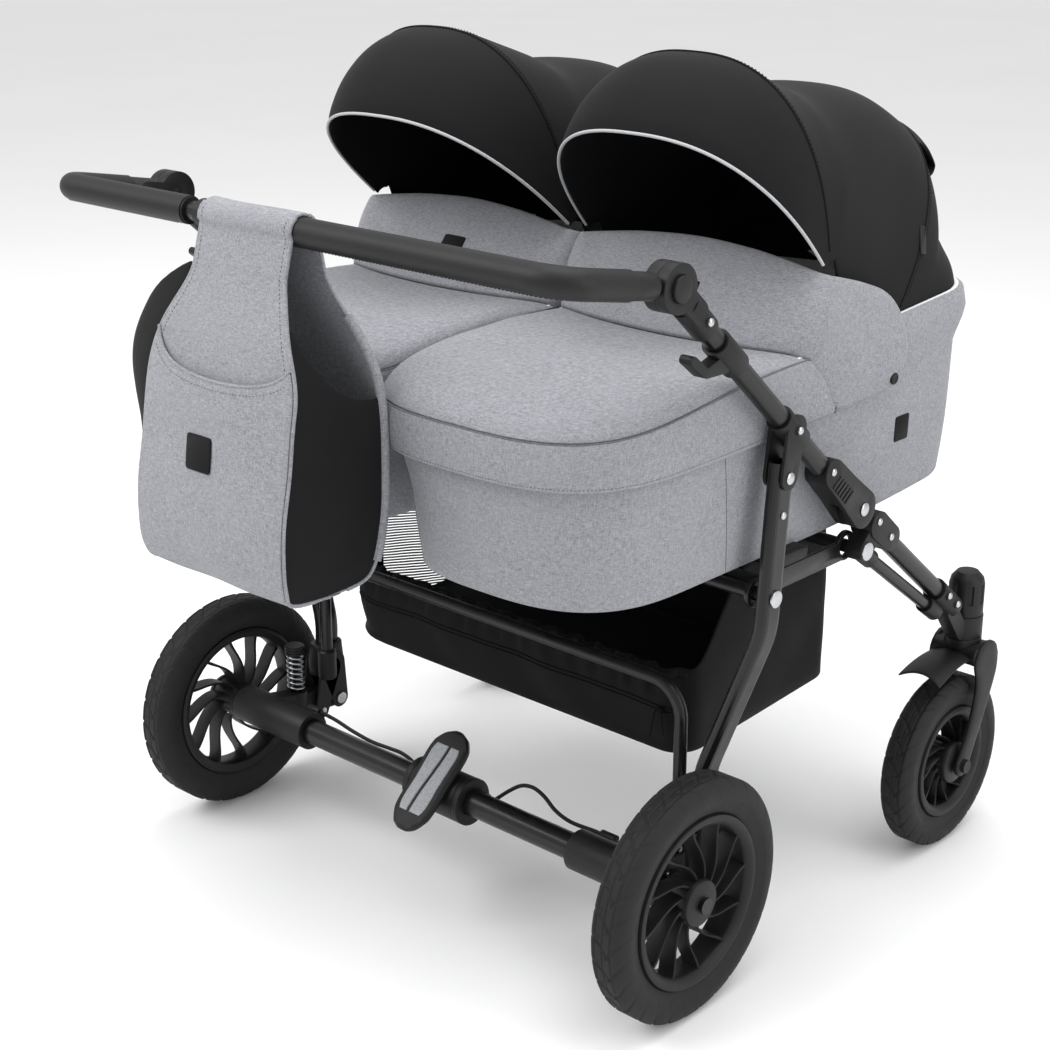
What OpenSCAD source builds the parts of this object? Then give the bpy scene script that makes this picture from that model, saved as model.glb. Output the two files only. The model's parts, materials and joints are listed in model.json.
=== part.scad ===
// Twin pram: a folding chassis with a height-adjustable handle, rear suspension and foot brake,
// swivelling front wheels, two lift-off carrycots with folding hoods, a basket and a changing bag.
// Millimetres. +Z is up, +Y is the way the pram travels, +X is its right-hand side.
// Heights are above the floor. Lengths along Y are written from the rear axle, and everything
// is moved at the end so that the origin lies on the floor in the middle of the outer box.

/* [Wheels] */
// Outer diameter of a rear tyre
rear_wheel_d = 290; // [260:2:310]
// Width of a rear tyre
rear_tyre_w = 48; // [40:1:54]
// Outer diameter of a front tyre
front_wheel_d = 234; // [200:2:250]
// Width of a front tyre
front_tyre_w = 44; // [36:1:48]
// Height of a tyre's section, from rim to tread
tyre_h = 40; // [32:1:44]
// Number of turbine spokes in a rim
spoke_count = 12; // [8:1:16]
// Distance of the rear wheels' middle planes outside the side frames
rear_wheel_out = 0; // [-5:1:25]
// Distance of the front wheels' middle planes inside the side frames
front_wheel_in = 5; // [0:1:10]
// Diameter of the wheel spindles
spindle_d = 12; // [8:0.5:14]

/* [Side frame] */
// Clearance from a cot's side to the middle of a side frame's tube
side_clear = 27.5; // [24:0.5:40]
// Diameter of the main tubes
tube_d = 24; // [20:0.5:26]
// Wall of every tube
tube_wall = 1.8; // [1:0.1:2.5]
// Diameter of the cross tubes and braces
brace_d = 16; // [12:0.5:18]
// Length position of the handle knuckle
knuckle_y = -56; // [-80:1:-40]
// Height of the handle knuckle
knuckle_z = 851; // [830:1:880]
// Length position of the main fold hinge
fold_y = 297; // [285:1:310]
// Height of the main fold hinge
fold_z = 533; // [520:1:545]
// Length position of the rear leg's upper hinge
leg_pivot_y = 146; // [135:1:155]
// Height of the rear leg's upper hinge
leg_pivot_z = 607; // [595:1:615]
// Length position of the rear link pivot
link_rear_y = 134; // [125:1:140]
// Height of the rear link pivot
link_rear_z = 468; // [460:1:472]
// Length position of the front link pivot
link_front_y = 311; // [305:1:318]
// Height of the front link pivot
link_front_z = 477; // [472:1:480]

/* [Handle] */
// Length position of the push bar
bar_y = -215; // [-240:1:-190]
// Height of the push bar
bar_z = 880; // [860:1:920]
// Diameter of the push bar tube
bar_d = 22; // [18:0.5:24]
// Outer diameter of the push bar grips
grip_d = 32; // [28:0.5:34]
// Radius of the push bar's corners
bar_bend_r = 36; // [30:1:60]
// Radius of a handle knuckle
knuckle_r = 26; // [22:0.5:28]
// Travel of a knuckle's push button
button_travel = 4; // [2:0.5:5]
// Travel of a fold release slider
slider_travel = 20; // [10:1:24]

/* [Front fork] */
// Length position of the swivel axis
swivel_y = 585; // [575:1:600]
// Height of the swivel's seat, where the fork turns under its socket
swivel_z = 283; // [278:1:290]
// Distance that the front axle trails behind the swivel axis
trail = 37; // [25:1:45]
// Clear gap between a front tyre and its fork
fork_gap = 7; // [5:0.5:10]

/* [Rear suspension] */
// Distance of the suspension inside the side frames
suspension_in = 65; // [60:1:70]
// Length position of the swing arm pivot
arm_pivot_y = 122; // [115:1:130]
// Drop of the swing arm pivot below the rear axle
arm_drop = 16; // [11:1:20]
// Length position of the springs
spring_y = 56; // [50:1:60]
// Outer diameter of a spring
spring_d = 24; // [20:0.5:26]
// Diameter of the spring wire
spring_wire = 3; // [2:0.1:3.4]
// Length of a spring
spring_h = 55; // [48:1:64]
// Number of a spring's curls
spring_turns = 7; // [5:1:8]
// Diameter of the rear axle tube
axle_d = 33; // [28:0.5:36]

/* [Cots] */
// Width of a cot tub
cot_w = 360; // [340:1:364]
// Gap between the two cots
cot_gap = 15; // [14:1:18]
// Length position of the cot's foot end
cot_foot_y = -150; // [-156:1:-130]
// Length position of the cot's head end
cot_head_y = 610; // [590:1:620]
// Height of the cot's floor
cot_floor_z = 500; // [499:0.5:506]
// Height of the cot's rim at the foot end
rim_foot_z = 694; // [670:1:710]
// Height of the cot's rim at the head end
rim_head_z = 751; // [740:1:765]
// Wall of a cot tub
cot_wall = 5; // [4:0.5:8]
// Thickness of the mattress
mattress_h = 34; // [20:1:45]

/* [Hood] */
// Length position of the hood hinge
hood_y = 275; // [260:1:290]
// Height of the hood hinge
hood_z = 800; // [785:1:815]
// Crown radius of the moving canopy, about its hinge
canopy_r = 240; // [220:1:250]
// Thickness of the hood fabric and its lining
hood_t = 4; // [3:0.5:6]

/* [Bag] */
// Width of the changing bag
bag_w = 256; // [200:1:280]
// Sideways place of the bag's middle
bag_x = -46; // [-100:1:0]
// Length position of the bag's rear panel
bag_rear_y = -300; // [-320:1:-270]
// Length position of the bag's front panel
bag_front_y = -168; // [-190:1:-166]
// Height of the bag's bottom
bag_bottom_z = 486; // [460:1:520]
// Thickness of the bag's padded panels
bag_t = 5; // [3:0.5:7]

/* [Clearances] */
// Radial running clearance of pins and shafts
run = 0.08; // [0.03:0.01:0.1]
// Radial seat clearance of fixed tubes and pins
seat = 0.1; // [0.05:0.01:0.2]
// Gap between faces of pieces that move past each other
gap = 0.4; // [0.3:0.05:0.8]

/* [Hidden] */
$fn = 48;
// Distances from the centre line: the frames follow the cots, and the wheels follow the frames
cot_pitch = cot_w + cot_gap;
side_x = (cot_pitch + cot_w) / 2 + side_clear;
rear_wheel_x = side_x + rear_wheel_out;
front_wheel_x = side_x - front_wheel_in;
suspension_x = side_x - suspension_in;

black = "#1b1b1d";
rubber = "#262628";
silver = "#c9cbce";
melange = "#a9abaf";
lining = "#d7d8da";

// Side-view points, as [length, height]
K = [knuckle_y, knuckle_z];
J = [fold_y, fold_z];
B = [leg_pivot_y, leg_pivot_z];
P = [link_rear_y, link_rear_z];
Q = [link_front_y, link_front_z];
rear_axle_z = rear_wheel_d / 2;
A = [0, rear_axle_z];
front_axle_y = swivel_y - trail;
front_axle_z = front_wheel_d / 2;
S = [arm_pivot_y, rear_axle_z - arm_drop];
bar_p = [bar_y, bar_z];

// Middle of the outer box along the length, which becomes the origin
mid_y = (bag_rear_y + front_axle_y + front_wheel_d / 2) / 2;

function unit(v) = v / norm(v);
function side(p, x = 0) = [x, p[0], p[1]];
function frame(x, y, z, o) = [
  [x[0], y[0], z[0], o[0]], [x[1], y[1], z[1], o[1]], [x[2], y[2], z[2], o[2]], [0, 0, 0, 1]
];
function left_of(v) = [-v[1], v[0]];

// Directions along the side frame, from the knuckle down and from the fold hinge down
tube_dir = unit(J - K);
tube_len = norm(J - K);
leg_end = [swivel_y - 50, swivel_z + 57];
leg_dir = unit(leg_end - J);
leg_len = norm(leg_end - J);
arm_dir = unit(bar_p - K);
function on_tube(s, off = 0) = K + s * tube_dir + off * left_of(tube_dir);
function on_leg(s, off = 0) = J + s * leg_dir + off * left_of(leg_dir);
function on_arm(s) = K + s * arm_dir;

// Everything is drawn from the rear axle and then moved to the origin
module placed() { translate([0, -mid_y, 0]) children(); }
module both_sides() { children(); mirror([1, 0, 0]) children(); }
module on_left() { mirror([1, 0, 0]) children(); }

// Flat shapes of the side view, where [length, height] are the shape's own x and y
module taper2d(a, ra, b, rb) {
  d = norm(b - a);
  u = unit(b - a);
  n = left_of(u);
  c = (ra - rb) / d;
  t = sqrt(1 - c * c);
  translate(a) circle(ra);
  translate(b) circle(rb);
  polygon([a + ra * (c * u + t * n), b + rb * (c * u + t * n),
           b + rb * (c * u - t * n), a + ra * (c * u - t * n)]);
}
module slot2d(a, b, r) { taper2d(a, r, b, r); }
module ring2d(d, wall) { difference() { circle(d / 2); circle(d / 2 - wall); } }
// Flat-sided oval, its round ends drawn in a few flats
oval_steps = 8;
function oval_points(long, short) = let (r = short / 2)
  [for (m = [0, 180]) for (i = [0 : oval_steps]) let (a = m + i * 180 / oval_steps)
    [r * cos(a), r * sin(a) + (m == 0 ? 1 : -1) * (long / 2 - r)]];
module oval2d(long, short) { polygon(oval_points(long, short)); }

// Thickens a side-view shape from x = x0 to x = x1
module side_plate(x0, x1) {
  multmatrix(frame([0, 1, 0], [0, 0, 1], [1, 0, 0], [x0, 0, 0])) linear_extrude(x1 - x0) children();
}
// Cylinder along X through a side-view point
module cross_rod(p, x0, x1, r) {
  translate([x0, p[0], p[1]]) rotate([0, 90, 0]) cylinder(h = x1 - x0, r = r);
}
// Cylinder between two points
module rod(a, b, r) {
  z = unit(b - a);
  y = unit(cross(z, [1, 0.001, 0]));
  multmatrix(frame(cross(y, z), y, z, a)) cylinder(h = norm(b - a), r = r);
}
// Straight bar of any section between two points, with the section's own y along across
module bar_between(a, b, across) {
  z = unit(b - a);
  y = unit(across - (across * z) * z);
  multmatrix(frame(cross(y, z), y, z, a)) linear_extrude(norm(b - a)) children();
}
// Bent bar of any section through points, with round corners
function corner_turn(p, i) = acos(unit(p[i] - p[i - 1]) * unit(p[i + 1] - p[i]));
function corner_cut(p, i, r) = (i == 0 || i == len(p) - 1) ? 0 : r * tan(corner_turn(p, i) / 2);
module bent_bar(p, r, across) {
  for (i = [0 : len(p) - 2]) {
    u = unit(p[i + 1] - p[i]);
    bar_between(p[i] + u * corner_cut(p, i, r), p[i + 1] - u * corner_cut(p, i + 1, r), across)
      children();
  }
  for (i = [1 : len(p) - 2]) {
    u = unit(p[i] - p[i - 1]);
    v = unit(p[i + 1] - p[i]);
    turn = corner_turn(p, i);
    centre = p[i] + unit(v - u) * r / cos(turn / 2);
    out = unit(p[i] - u * corner_cut(p, i, r) - centre);
    multmatrix(frame(out, u, cross(out, u), centre))
      rotate_extrude(angle = turn) translate([r, 0]) children();
  }
}
// Skin over a stack of outlines that all have the same number of points, closed at both ends
// with flat caps, or joined end to end as a ring
function flatten(rows) = [for (row = rows) each row];
function total(v, i = 0) = i == len(v) - 1 ? v[i] : v[i] + total(v, i + 1);
function middle(ring) = total(ring) / len(ring);
module skin(rings, joined = false) {
  n = len(rings[0]);
  m = len(rings);
  walls = [for (k = [0 : m - (joined ? 1 : 2)]) for (i = [0 : n - 1])
    let (a = k * n, b = ((k + 1) % m) * n, j = (i + 1) % n)
    each [[a + i, b + i, a + j], [a + j, b + i, b + j]]];
  first = [for (i = [0 : n - 1]) [m * n, i, (i + 1) % n]];
  last = [for (i = [0 : n - 1]) [m * n + 1, (m - 1) * n + (i + 1) % n, (m - 1) * n + i]];
  if (joined) polyhedron(flatten(rings), walls);
  else polyhedron(concat(flatten(rings), [middle(rings[0]), middle(rings[m - 1])]),
    concat(walls, first, last));
}
// Wall between an outer and an inner grid of points that have the same rows and columns
module shell(outer, inner) {
  m = len(outer);
  n = len(outer[0]);
  o = m * n;
  cells = [for (i = [0 : m - 2]) for (j = [0 : n - 2]) i * n + j];
  quads = concat(
    [for (a = cells) [a, a + n, a + n + 1, a + 1]],
    [for (a = cells) [o + a, o + a + 1, o + a + n + 1, o + a + n]],
    [for (j = [0 : n - 2]) [j, j + 1, o + j + 1, o + j]],
    [for (j = [0 : n - 2]) let (k = (m - 1) * n + j) [k + 1, k, o + k, o + k + 1]],
    [for (i = [0 : m - 2]) let (a = i * n) [a + n, a, o + a, o + a + n]],
    [for (i = [0 : m - 2]) let (a = i * n + n - 1) [a, a + n, o + a + n, o + a]]);
  polyhedron(concat(flatten(outer), flatten(inner)),
    [for (q = quads) each [[q[0], q[1], q[2]], [q[0], q[2], q[3]]]]);
}
// Round tube of any length through a list of points, for cables and springs
function tangent(p, i) = unit(p[min(i + 1, len(p) - 1)] - p[max(i - 1, 0)]);
function tube_ring(p, i, r, sides, up) = let (
    t = tangent(p, i), a = unit(cross(up, t)), b = cross(t, a))
  [for (k = [0 : sides - 1]) p[i] + r * (cos(360 * k / sides) * a + sin(360 * k / sides) * b)];
module tube_along(p, r, sides, up) {
  skin([for (i = [0 : len(p) - 1]) tube_ring(p, i, r, sides, up)]);
}

// Hollow tube through points with round corners
bend_steps = 6;
pipe_sides = 20;
function corner_arc(a, b, c, r) = let (
    u = unit(b - a), v = unit(c - b), turn = acos(u * v),
    centre = b + unit(v - u) * r / cos(turn / 2), start = b - u * r * tan(turn / 2) - centre)
  [for (k = [0 : bend_steps]) centre + cos(turn * k / bend_steps) * start + sin(turn * k / bend_steps)
    * r * u];
function rounded(p, r) = concat([p[0]],
  [for (i = [1 : len(p) - 2]) each corner_arc(p[i - 1], p[i], p[i + 1], r)], [p[len(p) - 1]]);
module pipe(p, r, wall, up) {
  n = len(p) - 1;
  skin(concat([for (i = [0 : n]) tube_ring(p, i, r, pipe_sides, up)],
              [for (i = [n : -1 : 0]) tube_ring(p, i, r - wall, pipe_sides, up)]), joined = true);
}
// The same with a flat-sided oval section, its long axis along up
function oval_ring(p, i, long, short, up) = let (t = tangent(p, i), a = unit(cross(up, t)))
  [for (q = oval_points(long, short)) p[i] + q[0] * a + q[1] * up];
module oval_pipe(p, long, short, wall, up) {
  n = len(p) - 1;
  skin(concat([for (i = [0 : n]) oval_ring(p, i, long, short, up)],
              [for (i = [n : -1 : 0]) oval_ring(p, i, long - 2 * wall, short - 2 * wall, up)]),
                joined = true);
}

// Side frame, upper part

sleeve_wall = 3.5;
sleeve_d = tube_d + 2 * sleeve_wall;
knuckle_half = 14;
knuckle_in = side_x - knuckle_half - gap / 2;
knuckle_split = side_x;
knuckle_out = side_x + knuckle_half;
knuckle_pin_r = 6;
knuckle_sleeve_end = 78;
tube_start = 34;
housing_w = 15;
tongue_w = 6.6;
cheek_r = 23;
fold_pin_r = 5;
boss_r = 6;
boss_x = side_x + sleeve_d / 2 + 1.5;
tube_stop = tube_len - 34;
bolt_r = 4.5;
bolt_h = 2.5;

module handle_tubes() {
  color(black) both_sides()
    bar_between(side(on_tube(tube_start), side_x), side(on_tube(tube_stop), side_x), [1, 0, 0])
      ring2d(tube_d, tube_wall);
}

module tube_bore(s0, s1) {
  rod(side(on_tube(s0), side_x), side(on_tube(s1), side_x), tube_d / 2 + seat);
}

button_r = 14;
button_seat = 5;
module knuckle_bases() {
  color(black) both_sides() difference() {
    union() {
      cross_rod(K, knuckle_split + gap / 2, knuckle_out, knuckle_r);
      cross_rod(K, knuckle_in, knuckle_split + 1, knuckle_pin_r);
      side_plate(knuckle_split + gap / 2, knuckle_out)
        slot2d(K, on_tube(tube_start + 10), sleeve_d / 2 - 3);
      rod(side(on_tube(tube_start - 2), side_x), side(on_tube(knuckle_sleeve_end), side_x), sleeve_d / 2);
      cross_rod(on_tube(knuckle_sleeve_end - 17), side_x, boss_x, boss_r);
    }
    tube_bore(tube_start - 0.5, knuckle_sleeve_end + 5);
    cross_rod(K, knuckle_out - button_seat - button_travel - gap, knuckle_out + 1, button_r + gap);
  }
}

module tilt_button() {
  color(black) cross_rod(K, knuckle_out - button_seat, knuckle_out + button_travel, button_r);
}
module left_tilt_button() { on_left() tilt_button(); }
module right_tilt_button() { tilt_button(); }

bracket_s = (B - K) * tube_dir - 28;
cheek_gap = 9.5;
cheek_t = 4;
leg_pin_r = 4;
module leg_brackets() {
  top = on_tube(bracket_s);
  color(black) both_sides() difference() {
    union() {
      rod(side(on_tube(bracket_s - 22), side_x), side(on_tube(bracket_s + 26), side_x), sleeve_d / 2);
      for (m = [-1, 1]) {
        x0 = side_x + (m > 0 ? cheek_gap : -cheek_gap - cheek_t);
        side_plate(x0, x0 + cheek_t) taper2d(top, 17, B, 14);
      }
      cross_rod(top, side_x, boss_x, boss_r);
    }
    tube_bore(bracket_s - 30, bracket_s + 34);
    cross_rod(B, side_x - 30, side_x + 30, leg_pin_r + seat);
  }
}

rib_count = 6;
rib_pitch = 7;
module fold_housings() {
  start = tube_len - 88;
  color(black) both_sides() difference() {
    union() {
      side_plate(side_x - housing_w, side_x + housing_w)
        taper2d(on_tube(start), 17, on_tube(tube_len - 44), 19);
      for (m = [-1, 1]) {
        x0 = side_x + (m > 0 ? tongue_w + gap : -housing_w);
        side_plate(x0, x0 + housing_w - tongue_w - gap) taper2d(on_tube(tube_len - 44), 19, J, cheek_r);
      }
      for (i = [0 : rib_count - 1])
        side_plate(side_x + housing_w - 1, side_x + housing_w + 1.5)
          slot2d(on_tube(start + 10 + i * rib_pitch, -13), on_tube(start + 14 + i * rib_pitch, 3), 1.6);
    }
    tube_bore(start - 30, tube_stop + 0.5);
    cross_rod(J, side_x - 30, side_x + 30, fold_pin_r + seat);
  }
}

// Bolt with a low round head on each outer side
module bolt_head(p, x, r = bolt_r) {
  translate([x, p[0], p[1]]) rotate([0, 90, 0]) {
    cylinder(h = bolt_h * 0.5, r = r);
    translate([0, 0, bolt_h * 0.5]) cylinder(h = bolt_h * 0.5, r1 = r, r2 = r * 0.6);
  }
}
head_over = 3;
module cross_bolt(p, x0, x1, r) {
  cross_rod(p, x0, x1, r);
  bolt_head(p, x1, r + head_over);
  cross_rod(p, x0 - bolt_h, x0, r + head_over);
}
module frame_bolts() {
  color(silver) both_sides() {
    bolt_head(on_tube(knuckle_sleeve_end - 17), boss_x);
    bolt_head(on_tube(bracket_s), boss_x);
    bolt_head(on_tube(tube_len - 92), side_x + housing_w);
    cross_bolt(B, side_x - cheek_gap - cheek_t, side_x + cheek_gap + cheek_t, leg_pin_r);
    cross_bolt(J, side_x - housing_w, side_x + housing_w, fold_pin_r);
  }
}

// Handle

arm_start = 36;
arm_sleeve_end = 66;
arm_sleeve_d = bar_d + 2 * sleeve_wall;
bar_across = cross([1, 0, 0], side(arm_dir));
module handle_bar() {
  corners = [side(on_arm(arm_start), side_x), side(bar_p, side_x), side(bar_p, -side_x),
    side(on_arm(arm_start), -side_x)];
  color(black) pipe(rounded(corners, bar_bend_r), bar_d / 2, tube_wall, bar_across);
}

grip_gap_x = -140;
grip_gap_w = 24;
module handle_grip(m, end_x) {
  corners = [side(on_arm(arm_sleeve_end + 1), m * side_x), side(bar_p, m * side_x), side(bar_p, end_x)];
  pipe(rounded(corners, bar_bend_r), grip_d / 2, (grip_d - bar_d) / 2 - seat, bar_across);
}
module handle_grips() {
  color(rubber) {
    handle_grip(1, grip_gap_x + grip_gap_w / 2);
    handle_grip(-1, grip_gap_x - grip_gap_w / 2);
  }
}

module knuckle_arms() {
  color(black) both_sides() difference() {
    union() {
      cross_rod(K, knuckle_in, knuckle_split - gap / 2, knuckle_r);
      side_plate(knuckle_in, knuckle_split - gap / 2) slot2d(K, on_arm(arm_start + 10), arm_sleeve_d / 2 - 3);
      rod(side(on_arm(arm_start - 4), side_x), side(on_arm(arm_sleeve_end), side_x), arm_sleeve_d / 2);
    }
    rod(side(on_arm(arm_start - 0.5), side_x), side(on_arm(arm_sleeve_end + 5), side_x), bar_d / 2 + seat);
    cross_rod(K, knuckle_in - 1, knuckle_split + 1, knuckle_pin_r + run);
  }
}

// Fold release slider: a collar on the tube with a finger hook under it
slider_s = 104;
slider_len = 46;
hook_r = 5;
hook_half = 8;
module release_slider() {
  color(black) difference() {
    union() {
      rod(side(on_tube(slider_s), side_x), side(on_tube(slider_s + slider_len), side_x), sleeve_d / 2 + 0.5);
      side_plate(side_x - hook_half, side_x + hook_half) {
        taper2d(on_tube(slider_s + 22, -tube_d / 2), hook_r + 5, on_tube(slider_s + 2, -36), hook_r);
        slot2d(on_tube(slider_s + 2, -36), on_tube(slider_s - 26, -38), hook_r);
      }
    }
    rod(side(on_tube(slider_s - 60), side_x), side(on_tube(slider_s + slider_len + 5), side_x),
      tube_d / 2 + gap);
  }
}
module left_release_slider() { on_left() release_slider(); }
module right_release_slider() { release_slider(); }

// Changing bag: one sewn sling over the push bar, with open shoulders

bag_neck_w = 150;
bag_shoulder_z = bar_z - 138;
bag_loop_r = grip_d / 2 + 0.6;
module bag_side2d(inset) {
  r = bag_loop_r + bag_t - inset;
  rear = bag_rear_y + inset;
  front = bag_front_y - inset;
  low = bag_bottom_z + inset;
  belly_r = 40 - inset;
  translate(bar_p) circle(r);
  polygon([[bar_y - r, bar_z], [rear, bag_shoulder_z], [rear, low + belly_r],
    [rear + belly_r * 0.3, low + belly_r * 0.3],
           [rear + belly_r, low], [front - belly_r, low], [front - belly_r * 0.3, low + belly_r * 0.3],
           [front, low + belly_r], [front, bag_shoulder_z], [bar_y + r, bar_z]]);
}
module bag_face2d() {
  w = bag_w / 2;
  n = bag_neck_w / 2;
  polygon([[-w, bag_bottom_z - 5], [-w, bag_shoulder_z - 40], [-w * 0.86, bag_shoulder_z - 5],
           [-n, bar_z - 45], [-n, bar_z + 60], [n, bar_z + 60], [n, bar_z - 45],
           [w * 0.86, bag_shoulder_z - 5], [w, bag_shoulder_z - 40], [w, bag_bottom_z - 5]]);
}
module changing_bag() {
  color(melange) {
    difference() {
      intersection() {
        side_plate(bag_x - bag_w / 2, bag_x + bag_w / 2) bag_side2d(0);
        translate([bag_x, bag_front_y + 60, 0]) rotate([90, 0, 0])
          linear_extrude(bag_front_y - bag_rear_y + 120) bag_face2d();
      }
      side_plate(bag_x - bag_w / 2 + bag_t, bag_x + bag_w / 2 - bag_t) bag_side2d(bag_t);
      translate([bag_x - bag_w / 2 - 1, bag_rear_y + bag_t, bag_shoulder_z - 48])
        cube([bag_t + 2, bag_front_y - bag_rear_y - 2 * bag_t, 90]);
      translate([bag_x + bag_w / 2 - bag_t - 1, bag_rear_y + bag_t, bag_shoulder_z - 48])
        cube([bag_t + 2, bag_front_y - bag_rear_y - 2 * bag_t, 90]);
    }
  }
}

// Front legs with the lower half of the fold

clamp_s = 46;
clamp_end = 84;
leg_start = 50;
lug_in = side_x - 8.5;
lug_out = side_x + 12;
brace_dir = unit([swivel_y - 92, swivel_z + 62] - Q);
brace_end = [swivel_y - 92, swivel_z + 62];
socket_start = leg_len - 52;
module front_legs() {
  color(black) both_sides()
    bar_between(side(on_leg(leg_start), side_x), side(leg_end, side_x), [1, 0, 0]) ring2d(tube_d, tube_wall);
}

module fold_clamps() {
  color(black) both_sides() difference() {
    union() {
      side_plate(side_x - tongue_w, side_x + tongue_w) {
        circle_at(J, cheek_r - 0.5);
        slot2d(J, on_leg(clamp_s), 13);
      }
      side_plate(side_x - housing_w, side_x + housing_w) taper2d(on_leg(clamp_s), 17, on_leg(clamp_end), 16);
      side_plate(lug_in, lug_out) taper2d(on_leg(clamp_s + 6), 15, Q, 13);
      rod(side(Q + 8 * brace_dir, side_x), side(Q + 34 * brace_dir, side_x), brace_d / 2 + sleeve_wall);
    }
    rod(side(on_leg(leg_start - 0.5), side_x), side(on_leg(clamp_end + 30), side_x), tube_d / 2 + seat);
    rod(side(Q + 9.5 * brace_dir, side_x), side(Q + 60 * brace_dir, side_x), brace_d / 2 + seat);
    cross_rod(J, side_x - 30, side_x + 30, fold_pin_r + run);
    cross_rod(Q, side_x - 40, side_x + 40, brace_d / 2 + seat);
  }
}
module circle_at(p, r) { translate(p) circle(r); }

socket_r = 24;
stem_r = 9;
socket_top = swivel_z + 30;
module fork_sockets() {
  color(black) both_sides() difference() {
    union() {
      translate([front_wheel_x, swivel_y, swivel_z + gap])
        cylinder(h = socket_top - swivel_z - gap, r = socket_r);
      rod(side(on_leg(socket_start), side_x), side(on_leg(leg_len + 4), side_x), sleeve_d / 2);
      side_plate(side_x - 12, side_x + 8) slot2d(leg_end - [4, 6], [swivel_y - 25, swivel_z + 13], 11);
      rod(side(brace_end - 26 * brace_dir, side_x), side(brace_end + 6 * brace_dir, side_x),
        brace_d / 2 + sleeve_wall);
      cross_rod(on_leg(leg_len - 12), side_x, boss_x, boss_r);
      cross_rod(on_leg(leg_len - 40), side_x, boss_x, boss_r);
    }
    rod(side(on_leg(socket_start - 20), side_x), side(leg_end + 0.5 * leg_dir, side_x), tube_d / 2 + seat);
    rod(side(brace_end - 60 * brace_dir, side_x), side(brace_end + 0.5 * brace_dir, side_x),
      brace_d / 2 + seat);
    translate([front_wheel_x, swivel_y, swivel_z - 20]) cylinder(h = 60, r = stem_r + run);
  }
}

module front_braces() {
  color(black) both_sides()
    bar_between(side(Q + 10 * brace_dir, side_x), side(brace_end, side_x), [1, 0, 0])
      ring2d(brace_d, tube_wall);
}

module front_cross_tube() {
  color(black) bar_between(side(Q, -lug_out), side(Q, lug_out), [0, 0, 1]) ring2d(brace_d, tube_wall);
}

module front_leg_bolts() {
  color(silver) both_sides() {
    bolt_head(on_leg(clamp_s - 4, 3), side_x + housing_w);
    bolt_head(on_leg(clamp_end - 4), side_x + housing_w);
    bolt_head(on_leg(leg_len - 12), boss_x);
    bolt_head(on_leg(leg_len - 40), boss_x);
    cross_rod(Q, lug_out, lug_out + 3, 11);
  }
}

knob_r = 23;
knob_h = 58;
knob_notches = 8;
module swivel_knob() {
  z0 = socket_top + gap;
  color(black) translate([front_wheel_x, swivel_y, z0]) difference() {
    union() {
      cylinder(h = knob_h * 0.72, r = knob_r);
      translate([0, 0, knob_h * 0.72]) cylinder(h = knob_h * 0.14, r1 = knob_r, r2 = knob_r - 2);
      translate([0, 0, knob_h * 0.86]) cylinder(h = knob_h * 0.14, r1 = knob_r - 2, r2 = knob_r - 9);
    }
    for (i = [0 : knob_notches - 1]) rotate(i * 360 / knob_notches)
      translate([knob_r + 1.5, 0, knob_h * 0.3]) cylinder(h = knob_h * 0.45, r = 4);
  }
}
module left_swivel_knob() { on_left() swivel_knob(); }
module right_swivel_knob() { swivel_knob(); }

fork_t = 9;
fork_in = front_tyre_w / 2 + fork_gap;
fork_head_z = swivel_z - 20;
module fork_side2d() {
  f = [front_axle_y, front_axle_z];
  knee = [swivel_y + 27, front_axle_z + 98];
  shin = [front_axle_y + 44, front_axle_z + 44];
  taper2d([swivel_y + 2, fork_head_z], 17, knee, 17);
  taper2d(knee, 17, shin, 13);
  taper2d(shin, 13, f, 15);
}
module fork() {
  f = [front_axle_y, front_axle_z];
  guard = [[swivel_y - 12, swivel_z - 14], [swivel_y - 85, swivel_z], [swivel_y - 145, swivel_z - 12]];
  color(black) {
    difference() {
      union() {
        translate([front_wheel_x, swivel_y, fork_head_z - 8])
          cylinder(h = swivel_z - fork_head_z + 8, r = socket_r);
        translate([front_wheel_x, swivel_y, fork_head_z])
          cylinder(h = socket_top - fork_head_z - 2, r = stem_r);
        side_plate(front_wheel_x - fork_in - fork_t, front_wheel_x + fork_in + fork_t)
          taper2d([swivel_y + 2, fork_head_z], 13, [swivel_y + 18, fork_head_z - 16], 12);
        for (m = [-1, 1]) {
          x0 = front_wheel_x + (m > 0 ? fork_in : -fork_in - fork_t);
          side_plate(x0, x0 + fork_t) fork_side2d();
        }
        side_plate(front_wheel_x - fork_in - 3, front_wheel_x + fork_in + 3) {
          slot2d(guard[0], guard[1], 2.5);
          slot2d(guard[1], guard[2], 2.5);
        }
      }
      cross_rod(f, front_wheel_x - 80, front_wheel_x + 80, spindle_d / 2 + seat);
    }
  }
  color(silver) cross_spindle(f);
}
// Wheel spindle with a head outside each fork leg
module cross_spindle(f) {
  w = fork_in + fork_t;
  cross_rod(f, front_wheel_x - w - 3, front_wheel_x + w + 3, spindle_d / 2);
  cross_rod(f, front_wheel_x + w, front_wheel_x + w + 5, 9);
  cross_rod(f, front_wheel_x - w - 5, front_wheel_x - w, 9);
}
module left_fork() { on_left() fork(); }
module right_fork() { fork(); }

// Wheels, drawn about the X axis

groove_depth = 2.2;
groove_places = [-0.36, 0, 0.36];
flat_share = 0.6;
side_angles = [40 : 16 : 120];
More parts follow.
